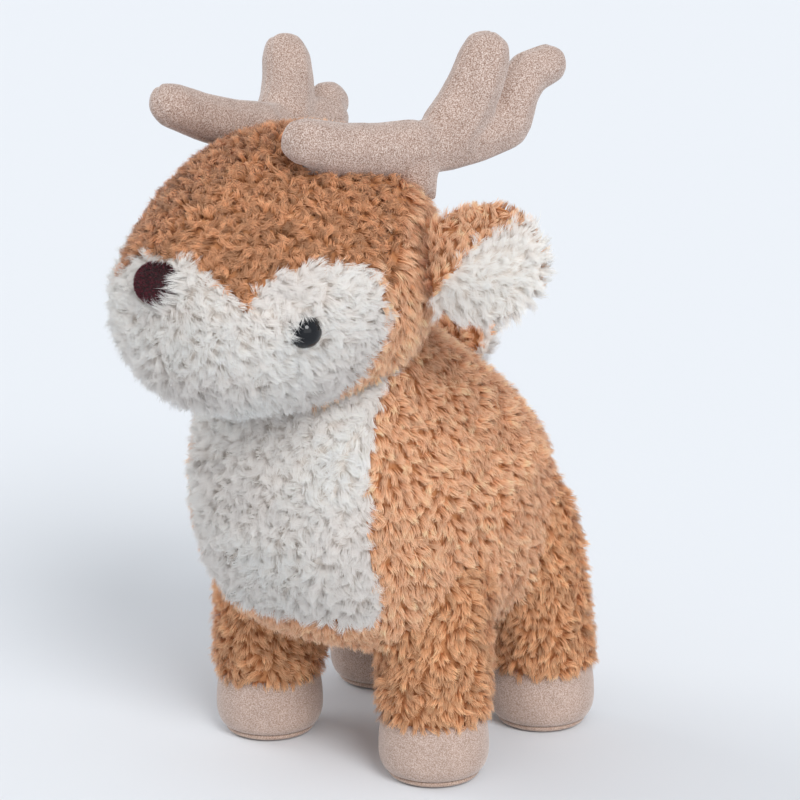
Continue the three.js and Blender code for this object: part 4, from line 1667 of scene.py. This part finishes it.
@dataclass
class Antler:
    """A stuffed antler: two suede cloths sewn edge to edge, with the seam drawn in.

    The foot is the part less than that high over the head's cloth, and it sinks into the pile. The faces in
    the seam's plane have the commonest direction, by its rounded digits, to within the cosine of level.
    """

    side: str
    voxel: float = mm(1.0)
    rounds: int = 14
    plump: float = mm(0.4)
    groove: float = mm(0.6)
    groove_half: float = mm(0.9)
    foot: float = mm(1.4)
    foot_sink: float = mm(4.0)
    digits: int = 2
    level: float = 0.999

    def seam_plane(self) -> tuple[np.ndarray, np.ndarray]:
        """Finds the plane between the two cloths.

        Returns:
            A point on it, and its normal.
        """
        mesh = frame["nodes"][f"antler_{self.side}_outer"].data
        areas: dict[tuple[float, ...], float] = {}
        for polygon in mesh.polygons:
            key = tuple(round(value, self.digits) for value in polygon.normal)
            areas[key] = areas.get(key, 0.0) + polygon.area
        rough = unit(np.array(max(areas, key=lambda key: areas[key])))
        flat = [polygon for polygon in mesh.polygons if np.dot(polygon.normal, rough) > self.level]
        weight = np.array([polygon.area for polygon in flat])[:, None]
        normals = np.array([tuple(polygon.normal) for polygon in flat])
        centres = np.array([tuple(polygon.center) for polygon in flat])
        return (centres * weight).sum(axis=0) / weight.sum(), unit((normals * weight).sum(axis=0))

    def build(self, kit: Kit, head: Skin) -> Skin:
        """Makes the antler with its seam, its foot sunk into the pile.

        Args:
            kit: The built finishes.
            head: The backing of the head.

        Returns:
            The antler's cover.
        """
        nodes = tuple(f"antler_{self.side}_{part}" for part in ("outer", "inner", "filling"))
        cover = draw_skin(
            f"antler_{self.side}_cover", nodes, kit.antler, self.voxel, self.rounds, -self.plump
        )
        centre, normal = self.seam_plane()
        mesh = cover.made.data
        points = vertex_array(mesh)
        away = (points - centre) @ normal
        pull = self.groove * np.exp(-((away / self.groove_half) ** 2))
        points = points - normal_array(mesh) * pull[:, None]
        lift = head.signed(points)
        for at in np.flatnonzero(lift < self.foot):
            _, out, _, _ = head.tree.find_nearest(Vector(points[at]))
            points[at] -= np.array(out) * self.foot_sink
        mesh.vertices.foreach_set("co", points.ravel())
        mesh.update()
        finish_piece(cover.made, "deer", "suede", *nodes)
        return cover


@dataclass
class Hoof:
    """A suede boot with its sole disc, sewn together low down and firm with filling.

    A profile's points are a distance in from the edge and a height, which is over the seam at the boot's
    foot, over its top at its lid, over the floor at the sole's tread, and under the seam at its hem.
    """

    leg: str
    lift: float = mm(1.2)
    seam_height: float = mm(3.0)
    seam_gap: float = mm(0.15)
    sides: int = 72
    steps: int = 15
    foot: tuple[tuple[float, float], ...] = ((mm(1.6), mm(0.5)), (mm(0.6), mm(0.15)))
    foot_middle: float = mm(0.6)
    swell: float = 1.9
    tuck: float = mm(1.4)
    tuck_from: float = 0.55
    steepness: float = 0.82
    lid: tuple[float, float] = (mm(4.5), mm(0.8))
    lid_middle: float = mm(1.0)
    tread: tuple[tuple[float, float], ...] = (
        (mm(5.0), 0.0), (mm(2.4), mm(0.25)), (mm(0.7), mm(1.1)), (mm(0.1), mm(2.0)),
    )
    hem: tuple[tuple[float, float], ...] = ((mm(0.4), mm(0.2)), (mm(1.4), 0.0))

    def build(self, kit: Kit) -> None:
        """Makes the boot and the sole of one leg.

        Args:
            kit: The built finishes.
        """
        low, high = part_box(f"{self.leg}_hoof")
        sole_low, sole_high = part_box(f"{self.leg}_sole")
        place = Matrix.Translation(((low.x + high.x) / 2, (low.y + high.y) / 2, 0.0))
        sole = (sole_high.x - sole_low.x) / 2
        wall = self.wall((high.x - low.x) / 2, sole, high.z + self.lift)
        boot = lathe(f"{self.leg}_boot", wall, self.sides, kit.hoof)
        boot.data.transform(place)
        finish_piece(boot, "deer", "suede", f"{self.leg}_hoof")
        disc = lathe(f"{self.leg}_sole_disc", self.disc(sole), self.sides, kit.sole)
        disc.data.transform(place)
        finish_piece(disc, "deer", "suede", f"{self.leg}_sole")

    def wall(self, radius: float, sole: float, top: float) -> list[tuple[float, float]]:
        """Draws the boot in section: full low down, and tucked in towards the sleeve.

        Args:
            radius: Its largest radius.
            sole: The sole's radius.
            top: The height of its top edge.

        Returns:
            Radius and height, from the axis at the bottom to the axis at the top.
        """
        seam = self.seam_height
        profile = [(0.0, seam + self.foot_middle)]
        profile += [(sole - inward, seam + height) for inward, height in self.foot]
        for k in range(self.steps):
            share = k / (self.steps - 1)
            bulge = sole + (radius - sole) * math.sin(min(1.0, share * self.swell) * math.pi / 2)
            tuck = self.tuck * max(0.0, (share - self.tuck_from) / (1.0 - self.tuck_from)) ** 2
            rise = (1.0 - math.cos(share * math.pi / 2)) ** self.steepness
            profile.append((bulge - tuck, seam + (top - seam) * rise + self.seam_gap))
        inward, height = self.lid
        return [*profile, (radius - inward, top + height), (0.0, top + self.lid_middle)]

    def disc(self, sole: float) -> list[tuple[float, float]]:
        """Draws the sole in section, with a rounded tread and its hem turned in at the seam.

        Args:
            sole: Its radius.

        Returns:
            Radius and height, from the axis at the bottom to the axis at the top.
        """
        seam = self.seam_height
        tread = [(sole - inward, height) for inward, height in self.tread]
        hem = [(sole - inward, seam - drop) for inward, drop in self.hem]
        return [(0.0, 0.0), *tread, *hem, (0.0, seam)]


@dataclass(frozen=True)
class Lamp:
    """A soft lamp far away. Its place and its width as seen from the deer are angles, in degrees."""

    name: str
    azimuth: float
    elevation: float
    width: float
    strength: float


@dataclass
class Studio:
    """A plain pale floor, soft light and the camera at the photograph's angle."""

    azimuth: float = 37.0
    elevation: float = 14.5
    distance: float = 1.1
    target: tuple[float, float, float] = (-0.0071, 0.0406, 0.132)
    focal_pixels: float = 2860.0
    frame_pixels: float = 800.0
    sensor_width: float = 36.0
    floor_half: float = 12.0
    sky_colour: str = "#E6ECF2"
    room_colour: str = "#F6F8FB"
    ambient: float = 0.64
    lamp_distance: float = 2.0
    lamps: tuple[Lamp, ...] = (
        Lamp("key_light", azimuth=58.0, elevation=38.0, width=24.0, strength=1.7),
        Lamp("fill_light", azimuth=60.0, elevation=12.0, width=50.0, strength=0.55),
        Lamp("rim_light", azimuth=285.0, elevation=30.0, width=40.0, strength=0.85),
    )

    @staticmethod
    def way(azimuth: float, elevation: float) -> Vector:
        """The direction from the deer to a place at an azimuth and an elevation, in degrees."""
        a, e = math.radians(azimuth), math.radians(elevation)
        return Vector((math.sin(a) * math.cos(e), -math.cos(a) * math.cos(e), math.sin(e)))

    def hang(self, made: bpy.types.ID, way: Vector, reach: float) -> bpy.types.Object:
        """Hangs a lamp or the camera so that it looks at the deer.

        Args:
            made: The lamp's or camera's data.
            way: The direction from the deer to it.
            reach: Its distance from the deer, in metres.

        Returns:
            Its object.
        """
        held = bpy.data.objects.new(made.name, made)
        bpy.context.scene.collection.objects.link(held)
        held.location = Vector(self.target) + way * reach
        held.rotation_mode = "QUATERNION"
        held.rotation_quaternion = (-way).to_track_quat("-Z", "Y")
        return held

    def light(self) -> None:
        """Makes the even room light, a key, a broad fill and a light on the far edge."""
        world = bpy.data.worlds.new("StudioWorld")
        world.use_nodes = True
        world.node_tree.nodes.clear()
        path = add_node(world, "ShaderNodeLightPath")
        # The camera, mirrors and clear things see the sky, and all else is lit by the room.
        glossy = add_node(
            world,
            "ShaderNodeMath",
            operation="MAXIMUM",
            links={0: path.outputs["Is Camera Ray"], 1: path.outputs["Is Glossy Ray"]},
        )
        seen = add_node(
            world,
            "ShaderNodeMath",
            operation="MAXIMUM",
            links={0: glossy.outputs[0], 1: path.outputs["Is Transmission Ray"]},
        )
        room = add_node(
            world,
            "ShaderNodeBackground",
            values={"Color": linear(self.room_colour), "Strength": self.ambient},
        )
        sky = add_node(
            world,
            "ShaderNodeBackground",
            values={"Color": linear(self.sky_colour), "Strength": 1.0},
        )
        mixed = add_node(
            world,
            "ShaderNodeMixShader",
            links={0: seen.outputs[0], 1: room.outputs[0], 2: sky.outputs[0]},
        )
        add_node(world, "ShaderNodeOutputWorld", links={"Surface": mixed.outputs[0]})
        bpy.context.scene.world = world
        for lamp in self.lamps:
            sun = bpy.data.lights.new(lamp.name, "SUN")
            sun.energy = lamp.strength
            sun.angle = math.radians(lamp.width)
            self.hang(sun, self.way(lamp.azimuth, lamp.elevation), self.lamp_distance)

    def build(self) -> None:
        """Makes the floor, the light and the camera."""
        scene = bpy.context.scene
        scene.view_settings.view_transform = "Standard"
        half = self.floor_half
        corners = [(-half, -half, 0.0), (half, -half, 0.0), (half, half, 0.0), (-half, half, 0.0)]
        mesh = bpy.data.meshes.new("floor")
        mesh.from_pydata(corners, [], [range(len(corners))])
        link_object("floor", mesh, FLOOR_PAINT.build())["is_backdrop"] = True
        self.light()
        camera = bpy.data.cameras.new("camera")
        camera.sensor_width = self.sensor_width
        camera.lens = self.focal_pixels / self.frame_pixels * camera.sensor_width
        scene.camera = self.hang(camera, self.way(self.azimuth, self.elevation), self.distance)


def main() -> None:
    """Builds the deer piece by piece, then the studio."""
    logging.basicConfig(level=logging.INFO, format="%(message)s")
    rng = np.random.default_rng(SEED)
    kit = Kit()
    torso, head = Torso(), Head()
    torso.back(kit)
    head.back(kit)
    antlers = [Antler(side).build(kit, head.skin) for side in SIDES]
    torso.cover(kit, head.skin, rng)
    head.cover(kit, torso.skin, antlers, rng)
    Buttons().build(kit, rng)
    for side in SIDES:
        Ear(f"ear_{side}", f"ear_{side}_back", f"ear_{side}_front").build(kit, rng)
    Flap("tail", "tail_top", "tail_under").build(kit, rng)
    for leg in LEGS:
        Hoof(leg).build(kit)
    Studio().build()
    faces = sum(len(piece.data.polygons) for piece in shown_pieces() if piece.type == "MESH")
    LOG.info("%d faces in all", faces)


if __name__ == "__main__":
    main()
